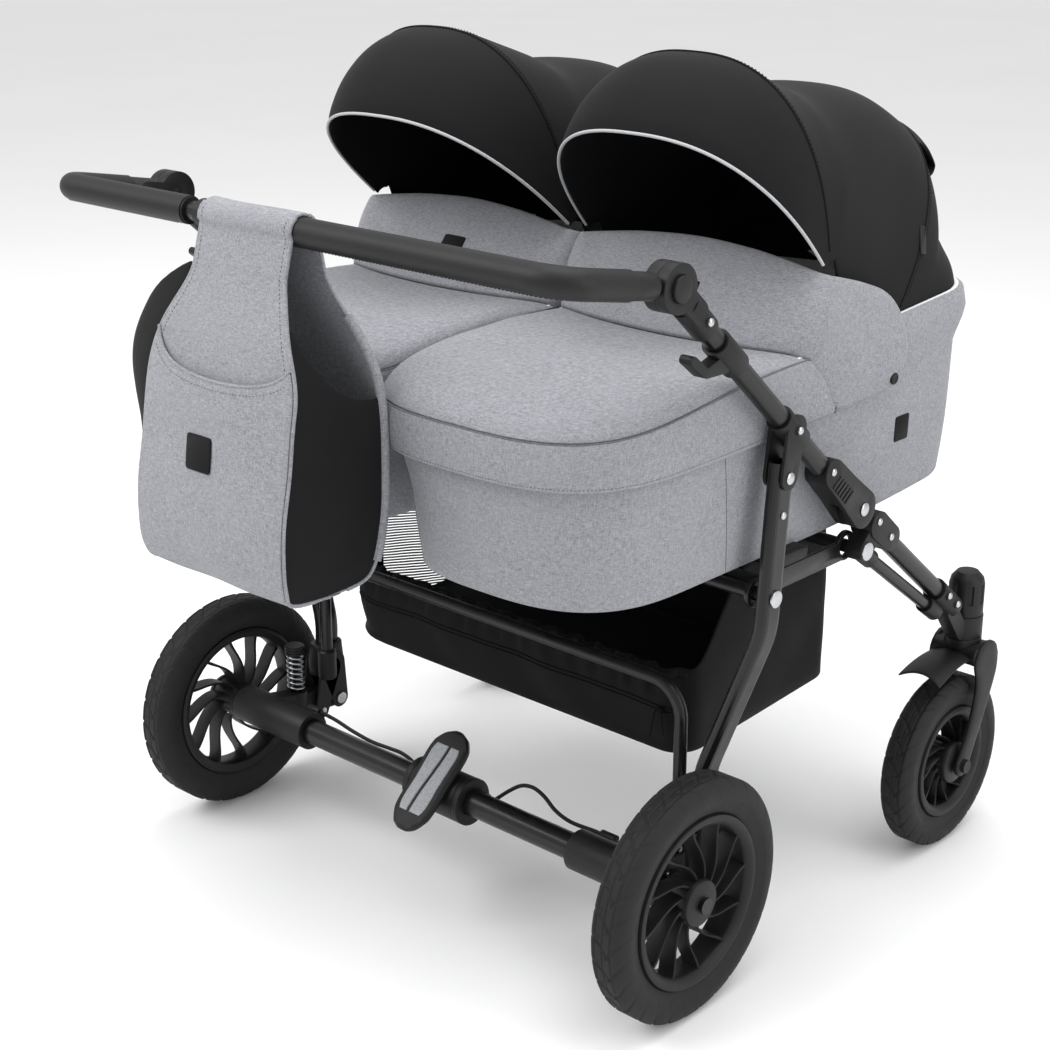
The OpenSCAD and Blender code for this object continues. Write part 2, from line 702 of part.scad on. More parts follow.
// Half of a tyre's section as [radius, distance from the middle plane], with a flat tread of three grooves
module tyre(d, w) {
  r = d / 2;
  half = w / 2;
  centre = r - half * cos(asin(flat_share));
  side_line = [for (a = side_angles) [centre + half * cos(a), half * sin(a)]];
  tread = [for (g = groove_places) each [
    [r, (g - 0.07) * half], [r - groove_depth, g * half], [r, (g + 0.07) * half]]];
  section = concat([[r - tyre_h, -half * 0.72]],
    [for (i = [len(side_line) - 1 : -1 : 0]) [side_line[i][0], -side_line[i][1]]],
    [[r, -half * flat_share]], tread, [[r, half * flat_share]], side_line, [[r - tyre_h, half * 0.72]]);
  color(rubber) rotate([0, 90, 0]) rotate_extrude($fn = 96) polygon(section);
}

rim_wall = 15;
hub_r = 28;
spoke_w = 5;
pin_r = 3.5;
pin_circle = 19;
module spokes2d(r_in, r_out) {
  span = r_out - r_in;
  bow = span * 0.9;
  for (i = [0 : spoke_count - 1]) rotate(i * 360 / spoke_count) intersection() {
    difference() { circle(r_out); circle(r_in); }
    translate([r_in + span / 2, -bow]) difference() { circle(bow + spoke_w / 2); circle(bow - spoke_w / 2); }
    translate([0, -span * 0.35]) square([r_out + 5, span]);
  }
}
module rim(d, w, hub_w) {
  r = d / 2 - tyre_h - gap / 2;
  half = w / 2;
  color(black) rotate([0, 90, 0]) {
    difference() {
      union() {
        rotate_extrude($fn = 96) polygon([
          [r, -half * 0.72], [r, half * 0.72], [r - rim_wall * 0.5, half * 0.8], [r - rim_wall, half * 0.62],
          [r - rim_wall, half * 0.2], [r - rim_wall * 0.4, 0], [r - rim_wall, -half * 0.2],
          [r - rim_wall, -half * 0.62], [r - rim_wall * 0.5, -half * 0.8]]);
        translate([0, 0, -half * 0.3]) linear_extrude(half * 0.75) spokes2d(hub_r - 2, r - rim_wall + 2);
        translate([0, 0, -hub_w / 2]) cylinder(h = hub_w, r = hub_r);
        translate([0, 0, hub_w / 2]) cylinder(h = 4, r1 = hub_r - 4, r2 = hub_r - 8);
      }
      translate([0, 0, -hub_w]) cylinder(h = 2 * hub_w + 20, r = spindle_d / 2 + run);
      for (i = [0 : 11]) rotate(i * 30) translate([pin_circle, 0, -hub_w / 2 - 1])
        cylinder(h = 10, r = pin_r + 0.8, $fn = 24);
    }
  }
}
rear_hub_w = 44;
front_hub_w = 2 * fork_in - 10;
module front_place() { translate([front_wheel_x, front_axle_y, front_axle_z]) children(); }
module rear_place() { translate([rear_wheel_x, 0, rear_axle_z]) children(); }
module right_front_tyre() { front_place() tyre(front_wheel_d, front_tyre_w); }
module left_front_tyre() { on_left() right_front_tyre(); }
module right_front_rim() { front_place() rim(front_wheel_d, front_tyre_w, front_hub_w); }
module left_front_rim() { on_left() right_front_rim(); }
module right_rear_tyre() { rear_place() tyre(rear_wheel_d, rear_tyre_w); }
module left_rear_tyre() { on_left() right_rear_tyre(); }
module right_rear_rim() { rear_place() rim(rear_wheel_d, rear_tyre_w, rear_hub_w); }
module left_rear_rim() { on_left() right_rear_rim(); }

// Rear legs and the cross tubes that join them

leg_long = 35;
leg_short = 18;
leg_foot_y = 112;
leg_foot_z = rear_axle_z + 43;
leg_knee_z = rear_axle_z + 93;
leg_bend_z = leg_pivot_z - 182;
leg_bolt_z = leg_pivot_z - 43;
leg_bend_r = 110;
leg_top = 17;
leg_run = [leg_foot_y, leg_foot_z] - B;
function leg_at(z) = B[0] + (z - B[1]) * leg_run[0] / leg_run[1];
function leg_point(x, z) = [x, leg_at(z), z];
leg_across = unit([0, leg_run[1], -leg_run[0]]);
module rear_legs() {
  path = [leg_point(side_x, leg_pivot_z + leg_top), leg_point(side_x, leg_bend_z),
          leg_point(suspension_x, leg_knee_z), leg_point(suspension_x, leg_foot_z)];
  color(black) both_sides() difference() {
    oval_pipe(rounded(path, leg_bend_r), leg_long, leg_short, tube_wall, leg_across);
    cross_rod(B, side_x - 30, side_x + 30, leg_pin_r + run);
    cross_rod(P, side_x - 30, side_x + 30, brace_d / 2 + seat);
  }
}

hoop_x = 308;
hoop_y = 95;
hoop_top_z = 345;
hoop_foot_z = leg_foot_z + 2;
module rear_hoop() {
  path = [[hoop_x, hoop_y, hoop_foot_z], [hoop_x, hoop_y, hoop_top_z],
          [-hoop_x, hoop_y, hoop_top_z], [-hoop_x, hoop_y, hoop_foot_z]];
  color(black) bent_bar(path, 42, [0, 1, 0]) ring2d(brace_d, tube_wall);
}
module rear_cross_tube() {
  color(black) bar_between(side(P, -side_x - leg_short / 2), side(P, side_x + leg_short / 2), [0, 0, 1])
    ring2d(brace_d, tube_wall);
}

arm_half = 12;
fork_wall = 5;
bracket_in = hoop_x - 14;
bracket_out = suspension_x + arm_half + fork_wall + 0.5;
bracket_z0 = leg_foot_z - 20;
bracket_z1 = leg_foot_z + 36;
arm_pin_r = 5;
rod_r = 4;
rod_plate_z = rear_axle_z - 37;
rod_plate_t = 6;
lug_y = 88;
module suspension_brackets() {
  color(black) both_sides() difference() {
    union() {
      translate([bracket_in, hoop_y - 18, bracket_z0])
        cube([bracket_out - bracket_in, 60, bracket_z1 - bracket_z0]);
      for (m = [-1, 1]) {
        x0 = suspension_x + (m > 0 ? arm_half + 0.5 : -arm_half - 0.5 - fork_wall);
        side_plate(x0, x0 + fork_wall) {
          taper2d([leg_foot_y - 2, bracket_z0 + 14], 24, S, 14);
          taper2d([leg_foot_y - 6, bracket_z0 + 14], 20, [lug_y, rod_plate_z + 12], 12);
        }
      }
      translate([suspension_x - arm_half - 1, spring_y - 12, rod_plate_z])
        cube([2 * arm_half + 2, 44, rod_plate_t]);
    }
    bar_between(leg_point(suspension_x, leg_foot_z - 0.5), leg_point(suspension_x, bracket_z1 + 20),
      leg_across)
      oval2d(leg_long + 2 * seat, leg_short + 2 * seat);
    translate([hoop_x, hoop_y, hoop_foot_z - 0.5]) cylinder(h = 80, r = brace_d / 2 + seat);
    cross_rod(S, suspension_x - 40, suspension_x + 40, arm_pin_r + seat);
    translate([suspension_x, spring_y, rod_plate_z - 5]) cylinder(h = 20, r = rod_r + seat);
  }
}

// Spring seat on the swing arm, and the capped bolt that the spring pushes against
spring_z0 = rear_axle_z + 12;
spring_z1 = spring_z0 + spring_h;
cap_r = spring_d / 2 + 1.5;
cap_ribs = 3;
module spring_rods() {
  color(black) both_sides() translate([suspension_x, spring_y, 0]) {
    translate([0, 0, rod_plate_z - 4]) cylinder(h = 4, r = 8);
    translate([0, 0, rod_plate_z - 1]) cylinder(h = spring_z1 - rod_plate_z + 3, r = rod_r);
    for (i = [0 : cap_ribs - 1]) translate([0, 0, spring_z1 + gap + i * 4]) {
      cylinder(h = 2.5, r = cap_r);
      cylinder(h = 4, r = cap_r - 1.5);
    }
  }
}

curl_rings = 8;
spring_mid_r = (spring_d - spring_wire) / 2;
spring_lift = (spring_h - spring_wire) / spring_turns;
function spring_point(a)
  = [spring_mid_r * cos(a), spring_mid_r * sin(a), spring_wire / 2 + spring_lift * a / 360];
spring_path = [for (i = [0 : spring_turns * curl_rings]) spring_point(i * 360 / curl_rings)];
spring_self_gap = min([for (i = [0 : (spring_turns - 1) * curl_rings])
  norm(spring_path[i + curl_rings] - spring_path[i]) - spring_wire]);
module suspension_springs() {
  echo(spring_self_gap = spring_self_gap);
  color(silver) both_sides() translate([suspension_x, spring_y, spring_z0])
    tube_along(spring_path, spring_wire / 2, 6, [0, 0, 1]);
}

module rear_leg_bolts() {
  x1 = side_x + leg_short / 2;
  color(silver) both_sides() {
    bolt_head([leg_at(leg_bolt_z), leg_bolt_z], x1);
    cross_rod(P, x1, x1 + 3, 10);
    cross_bolt(S, suspension_x - arm_half - fork_wall - 0.5, bracket_out, arm_pin_r);
  }
}

// Rear axle with its swing arms and the foot brake

axle_end = 300;
hub_face = rear_wheel_x - rear_hub_w / 2;
sleeve_in = 234;
sleeve_out = hub_face - 4;
sleeve_r = 25;
pin_len = 30;
pin_tip = hub_face - 1.5;
spindle_end = rear_wheel_x + rear_hub_w / 2 + 6;
module rear_axle() {
  color(black) bar_between(side(A, -axle_end), side(A, axle_end), [0, 0, 1]) ring2d(axle_d, 2);
  color(silver) {
    cross_rod(A, -spindle_end, spindle_end, spindle_d / 2);
    both_sides() cross_rod(A, spindle_end, spindle_end + 3, 10);
  }
}

arm_side_x0 = suspension_x - arm_half;
pin_z = rear_axle_z + pin_circle;
cable_foot = [sleeve_in + 24, 27, rear_axle_z + 14];
cable_plug = 2;
module axle_sleeves() {
  color(black) both_sides() difference() {
    union() {
      cross_rod(A, sleeve_in, sleeve_out, sleeve_r);
      side_plate(arm_side_x0, arm_side_x0 + 2 * arm_half) taper2d(A, 20, S, 12);
      translate([suspension_x, spring_y, S[1] + 2]) cylinder(h = spring_z0 - S[1] - 2 - gap, r = 15);
      cross_rod([cable_foot[1], cable_foot[2]], cable_foot[0] - 10, cable_foot[0] + 12, 6);
      cross_rod([cable_foot[1] - 10, cable_foot[2] - 3], cable_foot[0] - 6, cable_foot[0] + 12, 8);
    }
    cross_rod(A, sleeve_in - 5, axle_end + 0.5, axle_d / 2 + seat);
    cross_rod(A, sleeve_in - 5, sleeve_out + 5, spindle_d / 2 + seat);
    cross_rod(S, suspension_x - 30, suspension_x + 30, arm_pin_r + run);
    cross_rod([0, pin_z], pin_tip - pin_len - 1, sleeve_out + 5, pin_r + run);
    translate([suspension_x, spring_y, S[1] - 40]) cylinder(h = 80, r = rod_r + 5);
    cross_rod([cable_foot[1], cable_foot[2]], cable_foot[0] - 15, cable_foot[0] - cable_plug,
      cable_d / 2 + seat);
  }
}

module brake_pin() { color(silver) cross_rod([0, pin_z], pin_tip - pin_len, pin_tip, pin_r); }
module left_brake_pin() { on_left() brake_pin(); }
module right_brake_pin() { brake_pin(); }

brake_x0 = -32;
brake_x1 = 62;
brake_r = 24;
flange_w = 9;
pedal_ring = 6;
cable_boss = 12;
module brake_housing() {
  color(black) difference() {
    union() {
      cross_rod(A, brake_x0, brake_x1, brake_r);
      cross_rod(A, brake_x0, brake_x0 + flange_w, brake_r + pedal_ring);
      cross_rod(A, brake_x1 - flange_w, brake_x1, brake_r + pedal_ring);
      for (x = [brake_x0 - 8, brake_x1 - 4]) cross_rod([brake_r - 4, rear_axle_z], x, x + cable_boss, 6);
    }
    cross_rod(A, brake_x0 - cable_boss, brake_x1 + cable_boss, axle_d / 2 + seat);
    for (x = [brake_x0 - 20, brake_x1]) cross_rod([brake_r - 4, rear_axle_z], x, x + 20, cable_d / 2 + seat);
  }
}

pedal_tilt = 42;
pedal_t = 9;
pedal_front = 40;
pedal_rear = 80;
pedal_w = 66;
module pedal_plan2d() {
  mid_w = pedal_w * 0.36;
  taper2d([pedal_front - 26, 0], mid_w, [pedal_front - 20, 0], pedal_w * 0.34);
  polygon([[pedal_front - 4, -pedal_w * 0.36], [pedal_front, 0], [pedal_front - 4, pedal_w * 0.36],
           [0, mid_w], [-pedal_rear + 18, pedal_w / 2], [-pedal_rear, pedal_w * 0.4],
           [-pedal_rear, -pedal_w * 0.4], [-pedal_rear + 18, -pedal_w / 2], [0, -mid_w]]);
}
module brake_pedal() {
  x0 = brake_x0 + flange_w + gap;
  x1 = brake_x1 - flange_w - gap;
  mid = (x0 + x1) / 2;
  color(black) difference() {
    union() {
      cross_rod(A, x0, x1, brake_r + pedal_ring);
      translate([mid, 0, rear_axle_z]) rotate([pedal_tilt, 0, 0]) translate([0, 0, brake_r + pedal_ring - 2])
        rotate(90) linear_extrude(pedal_t) pedal_plan2d();
    }
    cross_rod(A, x0 - 5, x1 + 5, brake_r + gap);
  }
}

// Brake cables, from the pedal housing to the swing arms
cable_d = 5;
cable_sides = 10;
// Waypoints of a cable's arch, as [distance along X from the housing, length, height over the axle]
right_arch = [[20, 20, 0], [40, 34, 7], [60, 44, 15], [82, 48, 18], [106, 46, 17], [130, 41, 15],
  [154, 33, 14]];
left_arch = [[22, 20, 0], [42, 30, 6], [64, 40, 13], [88, 45, 16], [118, 44, 16], [152, 38, 15],
  [182, 31, 14]];
function cable_path(x, arch) = concat(
  [for (d = [gap, cable_boss]) [x + d, brake_r - 4, rear_axle_z]],
  [for (p = arch) [x + p[0], p[1], rear_axle_z + p[2]]],
  [for (d = [22, cable_boss, cable_plug + gap]) cable_foot - [d, 0, 0]]);
function curve_point(a, b, c, d, t) =
  0.5 * (2 * b + (c - a) * t + (2 * a - 5 * b + 4 * c - d) * t * t + (3 * b - a - 3 * c + d) * t * t * t);
function smooth(p, n) = concat([for (i = [0 : len(p) - 2]) for (k = [0 : n - 1])
  curve_point(p[max(i - 1, 0)], p[i], p[i + 1], p[min(i + 2, len(p) - 1)], k / n)], [p[len(p) - 1]]);
module brake_cables() {
  color(black) {
    tube_along(smooth(cable_path(brake_x1, right_arch), 2), cable_d / 2, cable_sides, [0, 0, 1]);
    on_left() tube_along(smooth(cable_path(-brake_x0, left_arch), 2), cable_d / 2, cable_sides, [0, 0, 1]);
  }
}

// Link frame that carries the cots and the basket

link_out = side_x - housing_w - 1;
link_t = 6;
link_in = link_out - link_t;
link_z0 = link_rear_z - 8;
link_z1 = link_rear_z + 16;
open_pivot_r = brace_d / 2 + 4.4;
module link_bars() {
  color(black) both_sides() difference() {
    side_plate(link_in, link_out) {
      circle_at(P, 17);
      circle_at(Q, open_pivot_r + 6);
      translate([P[0], link_z0]) square([Q[0] - P[0], link_z1 - link_z0]);
    }
    cross_rod(P, link_in - 5, link_out + 5, brace_d / 2 + run);
    cross_rod(Q, link_in - 5, link_out + 5, open_pivot_r);
  }
}

cross_bar_y = [164, 246];
cross_bar_w = 26;
cross_bar_h = 12;
cross_bar_z = 460;
spine_half = 46;
module cot_cross_bars() {
  color(black) union() {
    for (y = cross_bar_y) translate([-link_in, y - cross_bar_w / 2, cross_bar_z])
      cube([2 * link_in, cross_bar_w, cross_bar_h]);
    translate([-spine_half, cross_bar_y[0], cross_bar_z])
      cube([2 * spine_half, cross_bar_y[1] - cross_bar_y[0], cross_bar_h]);
  }
}

adapter_y0 = 178;
adapter_y1 = 232;
adapter_w = 30;
adapter_lap = 12;
adapter_top = cot_floor_z - gap;
module cot_adapters() {
  inner_x = (cot_pitch - cot_w) / 2 + 10;
  outer_x = cot_pitch / 2 + base_half - base_edge - adapter_lap;
  color(black) both_sides() {
    translate([outer_x, adapter_y0, link_z1])
      cube([link_out - outer_x, adapter_y1 - adapter_y0, adapter_top - link_z1]);
    translate([inner_x, adapter_y0, cross_bar_z + cross_bar_h])
      cube([adapter_w, adapter_y1 - adapter_y0, adapter_top - cross_bar_z - cross_bar_h]);
  }
}

basket_clear = 23;
basket_half = suspension_x - leg_short / 2 - basket_clear;
basket_t = 4;
basket_rear_y = 116;
basket_front_y = 386;
basket_floor_z = 262;
basket_hem_z = 345;
basket_hang_z = cross_bar_z - gap;
module basket_side2d(inset, top) {
  polygon([[basket_rear_y + 12 + inset, basket_floor_z + inset], [basket_rear_y + inset, basket_hem_z],
           [cross_bar_y[0] - 20, top], [cross_bar_y[1] + 24, top],
           [basket_front_y - inset, basket_hem_z + 55],
             [basket_front_y - 14 - inset, basket_floor_z + 8 + inset]]);
}
module basket() {
  color(black) difference() {
    side_plate(-basket_half, basket_half) basket_side2d(0, basket_hang_z);
    side_plate(-basket_half + basket_t, basket_half - basket_t) basket_side2d(basket_t, basket_hang_z);
    translate([-basket_half + basket_t, basket_rear_y + 1, basket_hem_z])
      cube([2 * (basket_half - basket_t), basket_front_y - basket_rear_y - 2, 200]);
  }
}

// Carrycots

outline_steps = 12;
foot_depth = 165;
head_corner_r = 80;
soft_power = 0.67;
function arc_power(v) = sign(v) * pow(abs(v), soft_power);
// Plan outline of a cot about its own centre line, grown by off
function cot_outline(off, half, foot, head) = concat(
  [for (i = [0 : outline_steps]) let (a = 180 + i * 180 / outline_steps)
    [(half + off) * arc_power(cos(a)), foot + foot_depth + (foot_depth + off) * arc_power(sin(a))]],
  [for (i = [0 : outline_steps / 2]) let (a = i * 90 / (outline_steps / 2))
    [half + off - head_corner_r * (1 - cos(a)), head + off - head_corner_r * (1 - sin(a))]],
  [for (i = [0 : outline_steps / 2]) let (a = 90 + i * 90 / (outline_steps / 2))
    [-half - off + head_corner_r * (1 + cos(a)), head + off - head_corner_r * (1 - sin(a))]]);
function lifted(outline, z) = [for (p = outline) [p[0], p[1], z]];
rim_slope = (rim_head_z - rim_foot_z) / (cot_head_y - cot_foot_y);
function rim_z(y) = rim_foot_z + rim_slope * (y - cot_foot_y);
function on_rim(outline, dz) = [for (p = outline) [p[0], p[1], rim_z(p[1]) + dz]];
half_w = cot_w / 2;
base_half = half_w - 7;
base_foot = cot_foot_y + 26;
base_head = cot_head_y - 16;
rocker = 30;
function base_z(y) = cot_floor_z + rocker * pow(max(0, (y - 250) / (base_head - 250)), 2);
function on_base(outline, dz) = [for (p = outline) [p[0], p[1], base_z(p[1]) + dz]];
module at_cot(m) { translate([m * cot_pitch / 2, 0, 0]) children(); }

base_edge = 9;
flat_head = base_head - 90;
module cot_tub() {
  color(melange) skin([
    lifted(cot_outline(-base_edge, base_half, base_foot, flat_head), cot_floor_z),
    on_base(cot_outline(0, base_half, base_foot, base_head), base_edge),
    on_rim(cot_outline(0, half_w, cot_foot_y, cot_head_y), -2),
    on_rim(cot_outline(-2, half_w, cot_foot_y, cot_head_y), 0),
    on_rim(cot_outline(-cot_wall, half_w, cot_foot_y, cot_head_y), 0),
    on_base(cot_outline(-cot_wall, base_half, base_foot, base_head), base_edge),
    lifted(cot_outline(-base_edge - 2, base_half, base_foot, flat_head), cot_floor_z + 2 * cot_wall)
  ]);
}
module left_cot() { at_cot(-1) cot_tub(); }
module right_cot() { at_cot(1) cot_tub(); }

mattress_inset = 24;
module mattress() {
  z0 = cot_floor_z + 2 * cot_wall + gap;
  crown = 6;
  color(lining) skin([
    lifted(cot_outline(-mattress_inset - 6, base_half, base_foot, flat_head), z0),
    lifted(cot_outline(-mattress_inset, base_half, base_foot, flat_head), z0 + mattress_h * 0.45),
    lifted(cot_outline(-mattress_inset - 6, base_half, base_foot, flat_head), z0 + mattress_h - crown),
    lifted(cot_outline(-mattress_inset - 40, base_half, base_foot, flat_head), z0 + mattress_h)
  ]);
}
module left_mattress() { at_cot(-1) mattress(); }
module right_mattress() { at_cot(1) mattress(); }

// Apron: a fitted cover over the foot half, with a skirt outside the rim and a raised wind flap
apron_t = 3;
apron_hem_z = 645;
apron_end_y = hood_y - 15;
apron_rise = 26;
flap_top_z = hood_z + 6;
flap_t = 4;
flap_half = half_w - 20;
module apron_shell(off, dz) {
  skin([
    lifted(cot_outline(off, half_w, cot_foot_y, cot_head_y), apron_hem_z + dz),
    on_rim(cot_outline(off, half_w, cot_foot_y, cot_head_y), gap + off * 0.5),
    on_rim(cot_outline(off - 22, half_w, cot_foot_y, cot_head_y), gap + off + apron_rise * 0.45),
    on_rim(cot_outline(off - 80, half_w, cot_foot_y, cot_head_y), gap + off + apron_rise)
  ]);
}
module apron_wing2d() {
  polygon([[apron_end_y - 30, apron_hem_z], [apron_end_y + 150, apron_hem_z + 6],
    [apron_end_y + 168, rim_z(430) - 16],
           [apron_end_y + 160, rim_z(430) + 14], [apron_end_y + 100, hood_z - 18],
             [apron_end_y + 20, flap_top_z],
           [apron_end_y - 6, flap_top_z], [apron_end_y - 30, rim_z(apron_end_y)]]);
}
module apron() {
  wing_x = half_w + gap;
  top_y = apron_end_y + 4;
  color(melange) {
    difference() {
      apron_shell(gap + apron_t, 0);
      apron_shell(gap, -1);
      translate([-half_w - 20, apron_end_y, apron_hem_z - 60]) cube([2 * half_w + 40, 500, 400]);
    }
    for (m = [-1, 1]) {
      x0 = m > 0 ? wing_x : -wing_x - apron_t;
      side_plate(x0, x0 + apron_t) apron_wing2d();
    }
    side_plate(-flap_half, flap_half)
      slot2d([apron_end_y - 4, rim_z(apron_end_y) + flap_t], [top_y, flap_top_z - flap_t / 2], flap_t / 2);
  }
}
module left_apron() { at_cot(-1) apron(); }
module right_apron() { at_cot(1) apron(); }

// Hood: two shells turned about the hinge line, the front one folding back over the rear one
hood_half = half_w - cot_wall - 1;
hood_power = 2.5;
hood_steps = 22;
hinge_r = 18;
canopy_from = 97;
canopy_to = 131;
function bow_share(x, half) = pow(max(0, 1 - pow(abs(x) / half, hood_power)), 1 / hood_power);
function hood_r(x, r, half) = hinge_r + (r - hinge_r) * bow_share(x, half);
function hood_line(r, half)
  = [for (i = [0 : hood_steps]) let (a = -90 + 180 * i / hood_steps, x = half * sin(a))
  [hood_r(x, r, half), x]];
module hood_shell(r, half, from, to) {
  inner = hood_line(r - hood_t, half - hood_t);
  profile = concat(hood_line(r, half), [for (i = [len(inner) - 1 : -1 : 0]) inner[i]]);
  translate([0, hood_y, hood_z]) multmatrix(frame([0, 1, 0], [0, 0, 1], [1, 0, 0], [0, 0, 0]))
    rotate(from) rotate_extrude(angle = to - from, $fn = 72) polygon(profile);
}
hood_hub_r = hinge_r + 6;
hood_pin_r = 5;
back_half = hood_half - hood_t - 1;
back_r = canopy_r - hood_t - 2;
foot_r = 10;
// Bows of the rear shell, as the crown and the foot of each in the side view. The first few turn
// about the hinge under the canopy, and the rest step back along the tub's rim to its head.
function turned_bow(a, r) = [for (d = [r, hinge_r]) [hood_y, hood_z] + d * [cos(a), sin(a)]];
function rim_bow(back, rise, foot) = let (y = cot_head_y - back) [[y, rim_z(y) + rise],
  [cot_head_y - foot[0], rim_z(cot_head_y - foot[0]) + foot[1]]];
hood_bows = [
  turned_bow(canopy_from + 6, back_r), turned_bow(90, back_r - 2), turned_bow(76, back_r - 6),
  turned_bow(66, back_r - 8),
  rim_bow(169, 259, [308, 50]), rim_bow(111, 238, [262, 18]), rim_bow(42, 192, [190, 8]),
  rim_bow(8, 132, [125, 4]), rim_bow(3, 70, [92, 0]), rim_bow(10, 2, [82, -8]), rim_bow(14, -16, [80, -16])
];
function bow_line(b, half, inset) = let (reach = norm(b[0] - b[1]) - inset, along = unit(b[0] - b[1]))
  [for (i = [0 : hood_steps]) let (x = half * sin(-90 + 180 * i / hood_steps))
    side(b[1] + along * reach * bow_share(x, half), x)];
module hood_canopy() {
  hinge = [hood_y, hood_z];
  color(black) difference() {
    union() {
      hood_shell(canopy_r, hood_half, canopy_from, canopy_to);
      both_sides() cross_rod(hinge, hood_half - hood_t * 0.8, hood_half - hood_t * 0.3, hood_hub_r);
    }
    both_sides() cross_rod(hinge, back_half, hood_half + 1, hood_pin_r + run);
  }
}
// The rear shell carries the hinge pins, and stands on two feet against the tub's inner wall
module hood_back() {
  hinge = [hood_y, hood_z];
  foot = [hood_y + 15, rim_z(hood_y + 15) - 15];
  foot_x = half_w - cot_wall - 1.2;
  hub_x0 = back_half - 2 * hood_t;
  hub_x1 = back_half - hood_t * 0.3;
  color(black) {
    shell([for (b = hood_bows) bow_line(b, back_half, 0)],
      [for (b = hood_bows) bow_line(b, back_half - hood_t, hood_t)]);
    both_sides() {
      cross_rod(hinge, hub_x0, hub_x1, hood_hub_r);
      cross_rod(hinge, hub_x1 - 1, hood_half + 0.5, hood_pin_r);
      side_plate(hub_x0, hub_x1) slot2d(hinge, foot, foot_r + 2);
      side_plate(hub_x0, foot_x) slot2d(foot, foot + [25, 0], foot_r);
    }
  }
}
module left_hood_canopy() { at_cot(-1) hood_canopy(); }
module right_hood_canopy() { at_cot(1) hood_canopy(); }
module left_hood_back() { at_cot(-1) hood_back(); }
module right_hood_back() { at_cot(1) hood_back(); }

placed() handle_tubes();
placed() knuckle_bases();
placed() leg_brackets();
placed() fold_housings();
placed() frame_bolts();
placed() handle_bar();
placed() handle_grips();
placed() knuckle_arms();
placed() left_tilt_button();
placed() right_tilt_button();
placed() left_release_slider();
placed() right_release_slider();
placed() changing_bag();
placed() front_legs();
placed() fold_clamps();
placed() fork_sockets();
placed() front_braces();
placed() front_cross_tube();
placed() front_leg_bolts();
placed() left_swivel_knob();
placed() right_swivel_knob();
placed() left_fork();
placed() right_fork();
placed() left_front_tyre();
placed() right_front_tyre();
placed() left_front_rim();
placed() right_front_rim();
placed() rear_legs();
placed() rear_hoop();
placed() rear_cross_tube();
placed() suspension_brackets();
placed() spring_rods();
placed() suspension_springs();
placed() rear_leg_bolts();
placed() rear_axle();
placed() axle_sleeves();
placed() brake_housing();
placed() brake_pedal();
placed() left_brake_pin();
placed() right_brake_pin();
placed() brake_cables();
placed() left_rear_tyre();
placed() right_rear_tyre();
placed() left_rear_rim();
placed() right_rear_rim();
placed() link_bars();
placed() cot_cross_bars();
placed() cot_adapters();
placed() basket();
placed() left_cot();
placed() right_cot();
placed() left_apron();
placed() right_apron();
placed() left_hood_canopy();
placed() right_hood_canopy();
placed() left_hood_back();
placed() right_hood_back();
placed() left_mattress();
placed() right_mattress();
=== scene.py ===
"""Dresses the twin pram's solids with cloth, leather, rubber, paint and small hardware."""

import json
import math

import bmesh
import bpy
import numpy as np
from mathutils import Matrix, Vector


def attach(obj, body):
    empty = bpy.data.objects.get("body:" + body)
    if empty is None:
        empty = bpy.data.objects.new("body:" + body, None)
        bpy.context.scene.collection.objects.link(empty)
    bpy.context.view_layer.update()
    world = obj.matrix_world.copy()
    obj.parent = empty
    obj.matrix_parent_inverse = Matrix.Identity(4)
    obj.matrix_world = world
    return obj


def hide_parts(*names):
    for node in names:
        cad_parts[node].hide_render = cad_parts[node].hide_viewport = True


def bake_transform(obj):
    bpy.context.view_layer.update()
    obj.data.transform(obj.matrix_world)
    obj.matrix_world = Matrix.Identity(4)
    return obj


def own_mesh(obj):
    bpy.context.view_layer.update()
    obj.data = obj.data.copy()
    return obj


bl_info = {
    "name": "Twin Pram",
    "version": (1, 0, 0),
    "blender": (4, 5, 0),
    "location": "View3D > Sidebar > Twin Pram",
    "description": "Builds the looks of a twin pram around its solids",
    "category": "Object",
}

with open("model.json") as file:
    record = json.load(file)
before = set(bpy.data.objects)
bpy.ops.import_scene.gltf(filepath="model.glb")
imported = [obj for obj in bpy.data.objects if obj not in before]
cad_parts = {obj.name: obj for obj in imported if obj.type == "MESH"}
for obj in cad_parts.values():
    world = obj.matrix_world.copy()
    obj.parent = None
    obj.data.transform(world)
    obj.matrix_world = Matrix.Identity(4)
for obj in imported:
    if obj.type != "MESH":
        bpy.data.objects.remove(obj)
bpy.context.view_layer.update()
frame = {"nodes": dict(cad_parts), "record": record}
NODES = frame["nodes"]
BODY_OF = {n: b for b, members in frame["record"]["behaviour"]["bodies"].items() for n in members}
SLOT_OF = {row["node"]: row["material_slot"] for row in frame["record"]["subparts"]}

# Sizes are written in millimetres, with lengths along the pram counted from the rear axle
MM = 0.001
AXLE_TO_ORIGIN = 182.5
REAR_AXLE_Z = 145.0
BAR_Y, BAR_Z = -215.0, 880.0
COT_X = 187.5
SIDES = (("left", -1), ("right", 1))
# Angles in degrees past which an edge stays sharp, on the solids and on moulded pieces
SOLID_EDGE, MOULDED_EDGE = 32, 40


def at(point):
    """A place written from the rear axle in millimetres, as a point of the shared frame in metres."""
    return Vector((point[0], point[1] - AXLE_TO_ORIGIN, point[2])) * MM


# Shader building


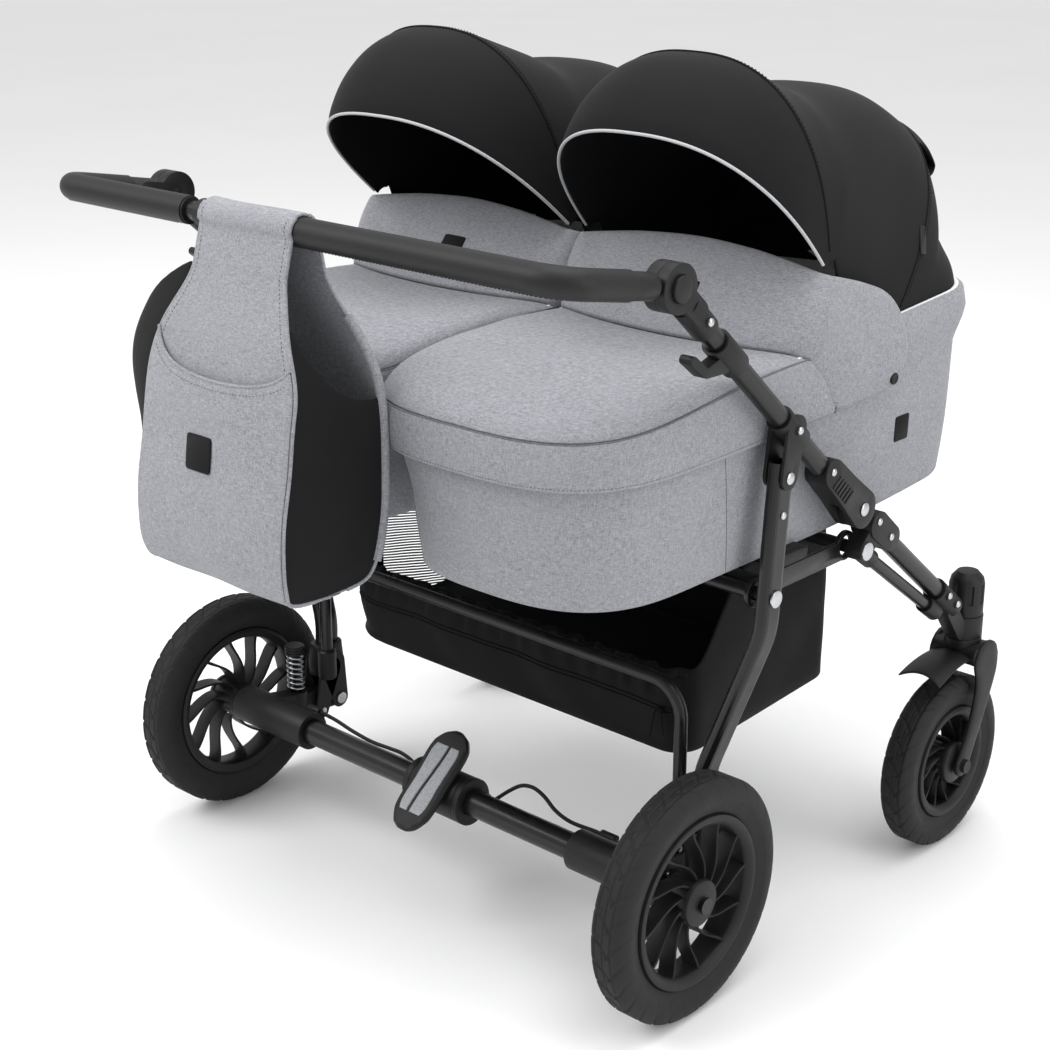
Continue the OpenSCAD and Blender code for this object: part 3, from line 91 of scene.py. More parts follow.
class Sock:
    """A shader value that takes part in Python expressions."""

    def __init__(self, tree, socket):
        self.tree = tree
        self.socket = socket

    def math(self, operation, other, swapped=False):
        node = self.tree.nodes.new("ShaderNodeMath")
        node.operation = operation
        pair = (other, self) if swapped else (self, other)
        for place, value in zip(node.inputs, pair):
            feed(self.tree, place, value)
        return Sock(self.tree, node.outputs[0])

    def __add__(self, other):
        return self.math("ADD", other)

    def __radd__(self, other):
        return self.math("ADD", other)

    def __sub__(self, other):
        return self.math("SUBTRACT", other)

    def __rsub__(self, other):
        return self.math("SUBTRACT", other, swapped=True)

    def __mul__(self, other):
        return self.math("MULTIPLY", other)

    def __rmul__(self, other):
        return self.math("MULTIPLY", other)

    def __pow__(self, other):
        return self.math("POWER", other)


def feed(tree, place, value):
    """Links a value into a socket, or sets the socket's own number."""
    if isinstance(value, Sock):
        tree.links.new(value.socket, place)
    else:
        place.default_value = value


class Finish:
    """A material under construction."""

    def __init__(self, name, **surface):
        self.material = bpy.data.materials.new(name)
        self.material.use_nodes = True
        self.tree = self.material.node_tree
        self.shader = self.tree.nodes["Principled BSDF"]
        self.set(**surface)

    def set(self, **surface):
        for key, value in surface.items():
            feed(self.tree, self.shader.inputs[key.replace("_", " ")], value)

    def node(self, kind, settings=None, inputs=None, output=0):
        node = self.tree.nodes.new(kind)
        for key, value in (settings or {}).items():
            setattr(node, key, value)
        for key, value in (inputs or {}).items():
            feed(self.tree, node.inputs[key], value)
        return Sock(self.tree, node.outputs[output])

    def place(self, scale=(1, 1, 1), turn=(0, 0, 0)):
        where = self.node("ShaderNodeTexCoord", output="Object")
        return self.node("ShaderNodeMapping", inputs={"Vector": where, "Scale": scale, "Rotation": turn})

    def noise(self, scale, detail, stretch=(1, 1, 1), rough=0.55):
        return self.node("ShaderNodeTexNoise", inputs={
            "Vector": self.place(stretch), "Scale": scale, "Detail": detail, "Roughness": rough})

    def cells(self, scale):
        return self.node("ShaderNodeTexVoronoi", {"feature": "F1"},
                         {"Vector": self.place(), "Scale": scale}, "Distance")

    def waves(self, scale, turn=(0, 0, 0), direction="X"):
        return self.node("ShaderNodeTexWave", {"bands_direction": direction},
                         {"Vector": self.place(turn=turn), "Scale": scale, "Distortion": 0.6, "Detail": 1.0})

    def blend(self, share, first, second):
        node = self.tree.nodes.new("ShaderNodeMix")
        node.data_type = "RGBA"
        feed(self.tree, node.inputs[0], share)
        feed(self.tree, node.inputs[6], first)
        feed(self.tree, node.inputs[7], second)
        return Sock(self.tree, node.outputs[2])

    def spread(self, value, low, high):
        return self.node("ShaderNodeMapRange", {"clamp": True},
                         {"Value": value, "From Min": low, "From Max": high})

    def bump(self, height, strength, distance):
        self.set(Normal=self.node("ShaderNodeBump", inputs={
            "Height": height, "Strength": strength, "Distance": distance}))


def shade(colour, factor):
    """A colour made lighter or darker."""
    return tuple(min(1.0, c * factor) for c in colour[:3]) + (1.0,)


FINISHES = {}


def make_paint():
    """Satin black coating of the tubes, with faint wear."""
    finish = Finish("black_paint", Specular_IOR_Level=0.32, Coat_Weight=0.08, Coat_Roughness=0.2)
    colour = bpy.context.scene.pram_colours.paint
    grain = finish.noise(1400.0, 2.0)
    wear = finish.spread(finish.noise(38.0, 4.0), 0.35, 0.75)
    finish.set(Base_Color=finish.blend(wear, shade(colour, 0.85), shade(colour, 1.25)),
               Roughness=0.27 + wear * 0.12)
    finish.bump(grain, 0.10, 0.0002)
    return finish.material


def make_plastic():
    """Black moulding with a fine pitted grain."""
    finish = Finish("moulded_plastic", Specular_IOR_Level=0.3)
    colour = bpy.context.scene.pram_colours.plastic
    pits = finish.cells(1500.0)
    cloud = finish.spread(finish.noise(30.0, 3.0), 0.3, 0.7)
    finish.set(Base_Color=finish.blend(cloud, shade(colour, 0.85), shade(colour, 1.2)),
               Roughness=0.44 + cloud * 0.12)
    finish.bump(pits, 0.16, 0.0002)
    return finish.material


def make_steel():
    """Brushed zinc-plated steel."""
    finish = Finish("zinc_steel", Metallic=1.0)
    brushed = finish.noise(600.0, 3.0, stretch=(1, 1, 6))
    finish.set(Base_Color=finish.blend(brushed, (0.4, 0.405, 0.42, 1), (0.6, 0.605, 0.62, 1)),
               Roughness=0.2 + brushed * 0.18)
    return finish.material


def make_rubber():
    """Matt tyre rubber with a little dust."""
    finish = Finish("tyre_rubber", Specular_IOR_Level=0.28)
    colour = bpy.context.scene.pram_colours.rubber
    dust = finish.spread(finish.noise(55.0, 5.0), 0.42, 0.8)
    finish.set(Base_Color=finish.blend(dust, colour, shade(colour, 1.7)), Roughness=0.62 + dust * 0.2)
    finish.bump(finish.noise(900.0, 3.0), 0.14, 0.0004)
    return finish.material


def make_leather():
    """Black leatherette with pores."""
    finish = Finish("black_leatherette", Specular_IOR_Level=0.34)
    colour = bpy.context.scene.pram_colours.leather
    pores = finish.cells(1150.0)
    cloud = finish.spread(finish.noise(24.0, 3.0), 0.3, 0.75)
    finish.set(Base_Color=finish.blend(cloud, shade(colour, 0.8), shade(colour, 1.25)),
               Roughness=0.42 + pores * 0.22)
    finish.bump(pores, 0.22, 0.0004)
    return finish.material


def make_melange(name="grey_melange", factor=1.0):
    """Heathered grey cloth: dark and light yarns that cross, with slubs along both."""
    finish = Finish(name, Sheen_Weight=0.08, Sheen_Roughness=0.5, Specular_IOR_Level=0.2)
    colour = bpy.context.scene.pram_colours.grey_cloth
    across = finish.noise(520.0, 2.0, stretch=(0.35, 0.35, 1.6), rough=0.7)
    down = finish.noise(520.0, 2.0, stretch=(1.6, 1.6, 0.3), rough=0.7)
    fleck = finish.spread(across * 0.5 + down * 0.5, 0.36, 0.64)
    cloud = finish.spread(finish.noise(14.0, 3.0), 0.3, 0.7)
    yarn = finish.blend(fleck, shade(colour, 0.62 * factor), shade(colour, 1.32 * factor))
    finish.set(Base_Color=finish.blend(cloud * 0.25, yarn, shade(colour, 1.12 * factor)), Roughness=0.86)
    weave = finish.waves(420.0, direction="Z") + finish.waves(420.0, direction="DIAGONAL") * 0.6
    finish.bump(weave + across, 0.22, 0.0007)
    return finish.material


def make_black_cloth(name="black_cloth", factor=1.0, sheen=0.04):
    """Plain black woven cloth, slightly uneven."""
    finish = Finish(name, Sheen_Weight=sheen, Sheen_Roughness=0.4, Specular_IOR_Level=0.2)
    colour = bpy.context.scene.pram_colours.black_cloth
    thread = finish.noise(700.0, 2.0, stretch=(1, 1, 0.4))
    cloud = finish.spread(finish.noise(9.0, 3.0), 0.3, 0.7)
    finish.set(Base_Color=finish.blend(thread * 0.6 + cloud * 0.4, shade(colour, 0.75 * factor),
                                       shade(colour, 1.35 * factor)), Roughness=0.82)
    weave = finish.waves(500.0, direction="Z") + finish.waves(500.0, direction="DIAGONAL")
    finish.bump(weave + finish.noise(60.0, 3.0) * 1.5, 0.2, 0.0006)
    return finish.material


def make_piping():
    """Pale twisted cord sewn along the hoods' rims."""
    finish = Finish("silver_piping", Sheen_Weight=0.2)
    twist = finish.waves(300.0, turn=(0.5, 0.4, 0.3))
    finish.set(Base_Color=finish.blend(twist, (0.34, 0.345, 0.36, 1), (0.5, 0.505, 0.52, 1)), Roughness=0.6)
    finish.bump(twist, 0.3, 0.0006)
    return finish.material


def make_lining():
    """White cotton of the linings and mattresses."""
    finish = Finish("white_cotton", Sheen_Weight=0.2)
    yarn = finish.noise(600.0, 2.0)
    finish.set(Base_Color=finish.blend(yarn, (0.7, 0.7, 0.69, 1), (0.84, 0.84, 0.83, 1)), Roughness=0.9)
    finish.bump(finish.waves(450.0, direction="Z") + yarn, 0.2, 0.0006)
    return finish.material


def make_pad():
    """Pale grip strips of the foot brake, with a pebbled surface."""
    finish = Finish("pebbled_grip")
    pebble = finish.cells(520.0)
    finish.set(Base_Color=finish.blend(pebble, (0.42, 0.43, 0.45, 1), (0.24, 0.25, 0.26, 1)), Roughness=0.7)
    finish.bump(pebble, 0.6, 0.0008)
    return finish.material


def make_net():
    """Grey net: fine threads with see-through holes between them."""
    finish = Finish("grey_net")
    rows = finish.waves(80.0, turn=(0.2, 0, 0), direction="Z")
    threads = rows + finish.waves(150.0, direction="Y") * 0.25
    solid = finish.spread(threads, 0.3, 0.46)
    finish.set(Base_Color=(0.5, 0.51, 0.53, 1), Roughness=0.8, Alpha=solid)
    finish.bump(threads, 0.4, 0.0006)
    return finish.material


def make_finishes():
    """Makes every material, by material slot or by what it is used for."""
    FINISHES.update(
        black_metal=make_paint(), black_plastic=make_plastic(), steel=make_steel(), tyre=make_rubber(),
        grip=make_leather(), grey_fabric=make_melange(), grey_dark=make_melange("grey_melange_shadow", 0.45),
        black_fabric=make_black_cloth(), thread=make_black_cloth("black_thread", 0.6, 0.0),
        lining=make_lining(), piping=make_piping(), pad=make_pad(), net=make_net())


# Mesh building


def add_object(name, mesh):
    """Puts a mesh, lamp or camera into the scene."""
    obj = bpy.data.objects.new(name, mesh)
    bpy.context.scene.collection.objects.link(obj)
    return obj


def make_piece(name, points, faces, finish):
    """A mesh piece from points in millimetres."""
    mesh = bpy.data.meshes.new(name)
    mesh.from_pydata([at(p) for p in points], [], faces)
    mesh.materials.append(FINISHES[finish])
    mesh.shade_smooth()
    return add_object(name, mesh)


def loft_faces(rows, columns, around):
    """Quads between rows of points that follow each other in one list."""
    last = columns if around else columns - 1
    return [(r * columns + c, r * columns + (c + 1) % columns,
             (r + 1) * columns + (c + 1) % columns, (r + 1) * columns + c)
            for r in range(rows - 1) for c in range(last)]


def loft(name, rows, finish, around=False, caps=(False, False)):
    """A sheet or tube of quads through rows of points."""
    rows = np.asarray(rows, float)
    count, columns = rows.shape[:2]
    faces = loft_faces(count, columns, around)
    if caps[0]:
        faces.append(tuple(range(columns - 1, -1, -1)))
    if caps[1]:
        faces.append(tuple(range((count - 1) * columns, count * columns)))
    obj = make_piece(name, rows.reshape(-1, 3), faces, finish)
    mend_normals(obj)
    return obj


def mend_normals(obj):
    """Merges doubled points and turns all faces outwards."""
    work = bmesh.new()
    work.from_mesh(obj.data)
    bmesh.ops.remove_doubles(work, verts=work.verts, dist=1e-6)
    bmesh.ops.recalc_face_normals(work, faces=work.faces)
    work.to_mesh(obj.data)
    work.free()


def bake(obj):
    """Turns an object's modifiers into its plain mesh."""
    graph = bpy.context.evaluated_depsgraph_get()
    mesh = bpy.data.meshes.new_from_object(obj.evaluated_get(graph))
    old = obj.data
    obj.modifiers.clear()
    obj.data = mesh
    mesh.name = obj.name
    bpy.data.meshes.remove(old)
    return obj


def sharpen(obj, degrees):
    """Shades a piece smooth, apart from edges past an angle."""
    obj.data.shade_smooth()
    obj.data.set_sharp_from_angle(angle=math.radians(degrees))


def thicken(obj, wall, levels, offset=0.0):
    """Gives a sheet its wall in millimetres, and rounds it."""
    shell = obj.modifiers.new("wall", "SOLIDIFY")
    shell.thickness = wall * MM
    shell.offset = offset
    if levels:
        soft = obj.modifiers.new("soft", "SUBSURF")
        soft.levels = levels
        soft.render_levels = levels
    bake(obj)
    obj.data.shade_smooth()
    return obj


def wear(obj, body, slot, *nodes):
    """Hangs a piece on the body that it rides on and hides the nodes that it stands for; the material slot
    is not used.
    """
    if nodes:
        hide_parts(*nodes)
    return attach(obj, body)


def joined(name, pieces):
    """One mesh object from several."""
    work = bmesh.new()
    finishes = []
    for piece in pieces:
        for finish in piece.data.materials:
            if finish not in finishes:
                finishes.append(finish)
    for piece in pieces:
        start = len(work.faces)
        work.from_mesh(piece.data)
        work.faces.ensure_lookup_table()
        for face in work.faces[start:]:
            face.material_index = finishes.index(piece.data.materials[face.material_index])
    mesh = bpy.data.meshes.new(name)
    work.to_mesh(mesh)
    work.free()
    for finish in finishes:
        mesh.materials.append(finish)
    for piece in pieces:
        old = piece.data
        bpy.data.objects.remove(piece)
        bpy.data.meshes.remove(old)
    return add_object(name, mesh)


def round_angles(count):
    """Even angles once round a circle, without the first one again at the end."""
    return 2 * math.pi * np.arange(count) / count


def unit(rows):
    """Each row's direction, with a length of one."""
    rows = np.asarray(rows, float)
    return rows / np.linalg.norm(rows, axis=-1, keepdims=True)


def resample(points, count, closed=False):
    """Points at even steps along a line."""
    line = np.asarray(points, float)
    if closed:
        line = np.vstack([line, line[:1]])
    far = np.concatenate([[0], np.cumsum(np.linalg.norm(np.diff(line, axis=0), axis=1))])
    steps = np.linspace(0, far[-1], count + 1)[:-1] if closed else np.linspace(0, far[-1], count)
    return np.column_stack([np.interp(steps, far, line[:, k]) for k in range(line.shape[1])])


def curve_through(points, steps):
    """A smooth line through points, with some steps between each pair."""
    p = np.asarray(points, float)
    out = []
    for i in range(len(p) - 1):
        a, b, c, d = p[max(i - 1, 0)], p[i], p[i + 1], p[min(i + 2, len(p) - 1)]
        for t in np.arange(steps) / steps:
            out.append(0.5 * (2 * b + (c - a) * t + (2 * a - 5 * b + 4 * c - d) * t * t
                              + (3 * b - a - 3 * c + d) * t ** 3))
    out.append(p[-1])
    return np.array(out)


# Node trees for what repeats or follows a path


def tree_socket(tree, name, kind, default=None):
    """Adds a named input to a node tree and gives its identifier."""
    socket = tree.interface.new_socket(name, in_out="INPUT", socket_type=kind)
    if default is not None:
        socket.default_value = default
    return socket.identifier


def tree_node(tree, kind, settings=None, **inputs):
    """Adds a node with its settings and the values or links of its inputs."""
    node = tree.nodes.new(kind)
    for key, value in (settings or {}).items():
        setattr(node, key, value)
    for key, value in inputs.items():
        place = node.inputs[key.replace("_", " ")]
        if isinstance(value, bpy.types.NodeSocket):
            tree.links.new(value, place)
        else:
            place.default_value = value
    return node


TREES = {}


def path_tree():
    """A round tube that follows the edges of a line."""
    if "path" in TREES:
        return TREES["path"]
    tree = bpy.data.node_groups.new("tube_on_path", "GeometryNodeTree")
    names = {"line": tree_socket(tree, "Line", "NodeSocketGeometry"),
             "radius": tree_socket(tree, "Radius", "NodeSocketFloat", 0.002),
             "sides": tree_socket(tree, "Sides", "NodeSocketInt", 10),
             "finish": tree_socket(tree, "Finish", "NodeSocketMaterial")}
    tree.interface.new_socket("Tube", in_out="OUTPUT", socket_type="NodeSocketGeometry")
    given = tree.nodes.new("NodeGroupInput")
    line = tree_node(tree, "GeometryNodeMeshToCurve", Mesh=given.outputs["Line"])
    ring = tree_node(tree, "GeometryNodeCurvePrimitiveCircle", Resolution=given.outputs["Sides"],
                     Radius=given.outputs["Radius"])
    tube = tree_node(tree, "GeometryNodeCurveToMesh", Curve=line.outputs[0], Profile_Curve=ring.outputs[0],
                     Fill_Caps=True)
    smooth = tree_node(tree, "GeometryNodeSetShadeSmooth", Geometry=tube.outputs[0])
    real = tree_node(tree, "GeometryNodeRealizeInstances", Geometry=smooth.outputs[0])
    painted = tree_node(tree, "GeometryNodeSetMaterial", Geometry=real.outputs[0],
                        Material=given.outputs["Finish"])
    end = tree.nodes.new("NodeGroupOutput")
    tree.links.new(painted.outputs[0], end.inputs[0])
    TREES["path"] = (tree, names)
    return TREES["path"]


def tube(name, points, radius, finish, sides):
    """A tube along points in millimetres."""
    tree, names = path_tree()
    edges = [(i, i + 1) for i in range(len(points) - 1)]
    mesh = bpy.data.meshes.new(name)
    mesh.from_pydata([at(p) for p in points], edges, [])
    obj = add_object(name, mesh)
    step = obj.modifiers.new("tube", "NODES")
    step.node_group = tree
    step[names["radius"]] = radius * MM
    step[names["sides"]] = sides
    step[names["finish"]] = FINISHES[finish]
    return bake(obj)


def spot_tree():
    """Copies of a shape on points, each with its own turn and size."""
    if "spot" in TREES:
        return TREES["spot"]
    tree = bpy.data.node_groups.new("shapes_on_points", "GeometryNodeTree")
    names = {"points": tree_socket(tree, "Points", "NodeSocketGeometry"),
             "shape": tree_socket(tree, "Shape", "NodeSocketObject"),
             "finish": tree_socket(tree, "Finish", "NodeSocketMaterial")}
    tree.interface.new_socket("Shapes", in_out="OUTPUT", socket_type="NodeSocketGeometry")
    given = tree.nodes.new("NodeGroupInput")
    shape = tree_node(tree, "GeometryNodeObjectInfo", Object=given.outputs["Shape"])
    turn = tree_node(tree, "GeometryNodeInputNamedAttribute", {"data_type": "FLOAT_VECTOR"}, Name="turn")
    size = tree_node(tree, "GeometryNodeInputNamedAttribute", {"data_type": "FLOAT_VECTOR"}, Name="size")
    spots = tree_node(tree, "GeometryNodeInstanceOnPoints", Points=given.outputs["Points"],
                      Instance=shape.outputs["Geometry"])
    tree.links.new(turn.outputs["Attribute"], spots.inputs["Rotation"])
    tree.links.new(size.outputs["Attribute"], spots.inputs["Scale"])
    real = tree_node(tree, "GeometryNodeRealizeInstances", Geometry=spots.outputs[0])
    painted = tree_node(tree, "GeometryNodeSetMaterial", Geometry=real.outputs[0],
                        Material=given.outputs["Finish"])
    end = tree.nodes.new("NodeGroupOutput")
    tree.links.new(painted.outputs[0], end.inputs[0])
    TREES["spot"] = (tree, names)
    return TREES["spot"]


def spread_shapes(name, shape, spots, finish):
    """Copies of a shape at spots of (place in mm, forward direction, side direction, size)."""
    tree, names = spot_tree()
    mesh = bpy.data.meshes.new(name)
    mesh.from_pydata([at(s[0]) for s in spots], [], [])
    turn = mesh.attributes.new("turn", "FLOAT_VECTOR", "POINT")
    size = mesh.attributes.new("size", "FLOAT_VECTOR", "POINT")
    for i, (_, forward, aside, scale) in enumerate(spots):
        z = Vector(forward).normalized()
        x = (Vector(aside) - Vector(aside).dot(z) * z).normalized()
        turn.data[i].vector = Matrix((x, z.cross(x), z)).transposed().to_euler()
        size.data[i].vector = (scale,) * 3
    obj = add_object(name, mesh)
    step = obj.modifiers.new("shapes", "NODES")
    step.node_group = tree
    step[names["shape"]] = shape
    step[names["finish"]] = FINISHES[finish]
    bake(obj)
    obj.data.shade_smooth()
    return obj


def round_shape(name, profile, sides):
    """A turned shape about its own Z axis, from [radius, height] in millimetres, used for copies."""
    work = bmesh.new()
    rings = []
    for radius, height in profile:
        rings.append([work.verts.new(Vector((radius * math.cos(a), radius * math.sin(a), height)) * MM)
                      for a in round_angles(sides)])
    for low, high in zip(rings, rings[1:]):
        for k in range(sides):
            work.faces.new((low[k], low[(k + 1) % sides], high[(k + 1) % sides], high[k]))
    work.faces.new(list(reversed(rings[0])))
    work.faces.new(rings[-1])
    mesh = bpy.data.meshes.new(name)
    work.to_mesh(mesh)
    work.free()
    return bpy.data.objects.new(name, mesh)


STITCH = [(0.15, -1.3), (0.5, -0.9), (0.55, 0), (0.5, 0.9), (0.15, 1.3)]


def stitches(name, line, normals, pitch, finish, lift, size):
    """A row of sewn stitches along a line, lying on the surface that the normals point out of."""
    shape = round_shape(name + "_shape", STITCH, 6)
    line = np.asarray(line, float)
    length = np.linalg.norm(np.diff(line, axis=0), axis=1).sum()
    count = max(2, int(length / pitch))
    points = resample(line, count)
    outward = resample(normals, count) if len(np.shape(normals)) == 2 else np.tile(normals, (count, 1))
    spots = []
    for i in range(count):
        along = points[min(i + 1, count - 1)] - points[max(i - 1, 0)]
        spots.append((points[i] + outward[i] * lift, along, outward[i], size))
    return spread_shapes(name, shape, spots, finish)


# Chassis: the solids themselves, with broken edges


def softened(node, finish, width):
    """A copy of a solid with its sharp edges rounded."""
    mesh = NODES[node].data.copy()
    mesh.materials.clear()
    mesh.materials.append(FINISHES[finish])
    obj = add_object(node + "_finished", mesh)
    work = bmesh.new()
    work.from_mesh(mesh)
    bmesh.ops.remove_doubles(work, verts=work.verts, dist=2e-6)
    bmesh.ops.dissolve_limit(work, angle_limit=math.radians(1.0), verts=work.verts, edges=work.edges)
    work.to_mesh(mesh)
    work.free()
    edge = obj.modifiers.new("edge", "BEVEL")
    edge.width = width * MM
    edge.segments = 2
    edge.limit_method = "ANGLE"
    edge.angle_limit = math.radians(38)
    edge.use_clamp_overlap = True
    edge.harden_normals = False
    tidy = obj.modifiers.new("triangles", "TRIANGULATE")
    tidy.keep_custom_normals = False
    bake(obj)
    sharpen(obj, SOLID_EDGE)
    return wear(obj, BODY_OF[node], SLOT_OF[node], node)


# How far the edges of each moulded or cut solid are broken
ROUNDED_NODES = {
    "knuckle_bases": 1.6, "knuckle_arms": 1.6, "leg_brackets": 1.2, "fold_housings": 1.8,
    "fold_clamps": 1.6, "fork_sockets": 1.4, "left_swivel_knob": 1.0, "right_swivel_knob": 1.0,
    "left_tilt_button": 1.2, "right_tilt_button": 1.2,
    "left_release_slider": 1.4, "right_release_slider": 1.4,
    "axle_sleeves": 1.4, "brake_housing": 1.2, "cot_adapters": 2.2, "link_bars": 0.8,
    "cot_cross_bars": 1.2, "frame_bolts": 0.4, "front_leg_bolts": 0.4, "rear_leg_bolts": 0.4,
}


class PRAM_OT_chassis(bpy.types.Operator):
    """Finish the tubes, housings and other hard pieces of the chassis"""

    bl_idname = "pram.chassis"
    bl_label = "Chassis"

    def execute(self, context):
        for node, obj in NODES.items():
            obj.data.materials.clear()
            obj.data.materials.append(FINISHES[SLOT_OF[node]])
            sharpen(obj, SOLID_EDGE)
        for node, width in ROUNDED_NODES.items():
            softened(node, SLOT_OF[node], width)
        return {"FINISHED"}


# Stage

CAMERA_PLACE = (1.5645, -1.7176, 1.2752)
CAMERA_AZIMUTH = 42.661
CAMERA_ELEVATION = 19.667
CAMERA_LENS = 66.88
CAMERA_SENSOR = 36.0
FLOOR_REACH = 60.0
SKY_STRENGTH = 0.8
LIGHT_AIM = (0, 0, 0.5)
# Place and size of each soft light in metres, with its power in watts
LIGHTS = {
    "key": ((-1.6, -2.6, 3.4), (2.6, 2.0), 95),
    "top": ((0.4, 0.2, 3.6), (3.0, 3.0), 80),
    "side": ((3.2, 0.6, 1.6), (1.6, 2.4), 30),
}


def area_light(name, place, size, power):
    """A soft light that faces the middle of the pram."""
    lamp = bpy.data.lights.new(name, "AREA")
    lamp.shape = "RECTANGLE"
    lamp.size, lamp.size_y = size
    lamp.energy = power
    obj = add_object(name, lamp)
    obj.location = place
    obj.rotation_euler = (Vector(LIGHT_AIM) - Vector(place)).to_track_quat("-Z", "Y").to_euler()


class PRAM_OT_stage(bpy.types.Operator):
    """Set up the camera, the pale floor and the soft studio light"""

    bl_idname = "pram.stage"
    bl_label = "Stage"

    def execute(self, context):
        lens = bpy.data.cameras.new("photo_view")
        lens.lens = CAMERA_LENS
        lens.sensor_width = CAMERA_SENSOR
        lens.clip_end = FLOOR_REACH
        camera = add_object("photo_view", lens)
        camera.location = CAMERA_PLACE
        camera.rotation_euler = (math.radians(90 - CAMERA_ELEVATION), 0, math.radians(CAMERA_AZIMUTH))
        context.scene.camera = camera

        mesh = bpy.data.meshes.new("floor")
        corners = ((-1, -1), (1, -1), (1, 1), (-1, 1))
        mesh.from_pydata([(x * FLOOR_REACH, y * FLOOR_REACH, 0) for x, y in corners], [], [(0, 1, 2, 3)])
        ground = Finish("pale_floor")
        tone = ground.blend(ground.noise(1.2, 2.0), (0.90, 0.90, 0.90, 1), (0.94, 0.94, 0.94, 1))
        ground.set(Base_Color=tone, Roughness=0.9)
        mesh.materials.append(ground.material)
        add_object("floor", mesh)

        world = bpy.data.worlds.new("studio")
        world.use_nodes = True
        sky = world.node_tree.nodes["Background"]
        sky.inputs["Color"].default_value = (1, 1, 1, 1)
        sky.inputs["Strength"].default_value = SKY_STRENGTH
        context.scene.world = world
        context.scene.view_settings.view_transform = "Standard"
        for name, (place, size, power) in LIGHTS.items():
            area_light(name, place, size, power)
        return {"FINISHED"}


# Brake cables

CABLE_D = 5.0
# Each cable leaves the brake housing's end straight, arches over and ends straight in its swing arm
BRAKE_ENDS = {"right": 62.0, "left": 32.0}
CABLE_EXIT_Y, CABLE_EXIT = 20.0, (0.4, 12.0)
CABLE_FOOT, CABLE_ENTRY = (258.0, 27.0, 159.0), (22.0, 12.0, 2.4)
CABLE_ARCH = {
    "right": [(19, 21, 3), (32, 31, 15), (47, 38, 25), (64, 41, 27), (83, 40, 22), (106, 35, 13),
              (136, 29, 11)],
    "left": [(22, 20, 0), (42, 26, 3), (64, 30, 4), (88, 30, 3), (118, 28, 3), (152, 27, 7), (182, 27, 12)],
}


class PRAM_OT_cables(bpy.types.Operator):
    """Lay the two brake cables from the foot brake to the swing arms"""

    bl_idname = "pram.cables"
    bl_label = "Brake cables"

    def execute(self, context):
        for side, sign in SIDES:
            start = BRAKE_ENDS[side]
            route = [(start + out, CABLE_EXIT_Y, REAR_AXLE_Z) for out in CABLE_EXIT]
            route += [(start + x, y, REAR_AXLE_Z + z) for x, y, z in CABLE_ARCH[side]]
            route += [(CABLE_FOOT[0] - back, *CABLE_FOOT[1:]) for back in CABLE_ENTRY]
            line = curve_through(route, 8)
            line[:, 0] *= sign
            cable = tube(side + "_brake_cable", line, CABLE_D / 2, "black_plastic", 14)
            wear(cable, "axle", "black_plastic", "brake_cables")
            path = [at(p) for p in line]
        return {"FINISHED"}


# Wheels

WHEELS = {
    "rear": {"centre": (395.0, 0.0, REAR_AXLE_Z), "radius": 145.0, "width": 48.0, "hub": 22.0, "cuts": 30},
    "front": {"centre": (390.0, 548.0, 117.0), "radius": 117.0, "width": 44.0, "hub": 24.0, "cuts": 26},
}
TREAD_DEPTH, TREAD_STEPS = 1.6, 22
# How far inside the tread a tyre's bead ring, its wall's foot, its seat and the rim's edge lie
BEAD_IN, FOOT_IN, SEAT_IN, RIM_IN = 27.0, 36.0, 40.0, 40.4
HUB_R, HUB_BORE_R = 28.0, 6.1
BLADES, BLADE_LEAN, BLADE_THICK = 12, 0.62, 2.6
# Section of the rim's ring, as distance inside its edge and share of half the width
RING_SECTION = [(0, 0.70), (1.5, 0.86), (5, 0.90), (9, 0.84), (14, 0.66), (15, 0.5), (15, 0.0), (15, -0.5),
                (13, -0.7), (5, -0.86), (1, -0.8), (0, -0.7), (0, 0.0), (0, 0.70)]
# Section of the hub's cap, as radius and height over the hub's end
CAP_SECTION = [(0.1, 3.4), (HUB_R * 0.55, 3.0), (HUB_R - 4, 1.6), (HUB_R - 2.6, 1.2), (HUB_R - 1.0, 0.6),
               (HUB_R, -1.5), (HUB_R, -5), (HUB_R - 3, -5), (0.1, -4.0)]


def tyre_section(radius, width):
    """Half of a tyre's section as [radius, distance from the middle plane], tread first."""
    half = width / 2
    centre = radius - half * math.cos(math.asin(0.6))
    flat = [(radius, half * v) for v in np.linspace(0, 0.58, 13)]
    side = [(centre + half * math.cos(a), half * math.sin(a)) for a in np.radians(np.linspace(40, 122, 15))]
    foot = [(radius - FOOT_IN, half * 0.80), (radius - SEAT_IN, half * 0.72)]
    return flat + side + foot


def tread_depth(around, across, pitch_count):
    """How deep the tread's curved cuts and rings lie at a place, from 0 to 1."""
    slot_half, ring_half = 0.085, 0.05
    pitches = around * pitch_count / (2 * math.pi)
    lean = 0.55 * across + 0.35 * across * across
    cut = 0.0
    if 0.16 < abs(across) < 1.18:
        cut = max(cut, 1.0 - abs((pitches + lean) % 1.0 - 0.5) / slot_half)
    if 0.02 < abs(across) < 0.42:
        cut = max(cut, 1.0 - abs((pitches - lean * 1.3 + 0.5) % 1.0 - 0.5) / slot_half)
    for ring in (0.0, 0.50):
        cut = max(cut, 1.0 - abs(abs(across) - ring) / ring_half)
    return max(0.0, min(1.0, cut * 2.0))


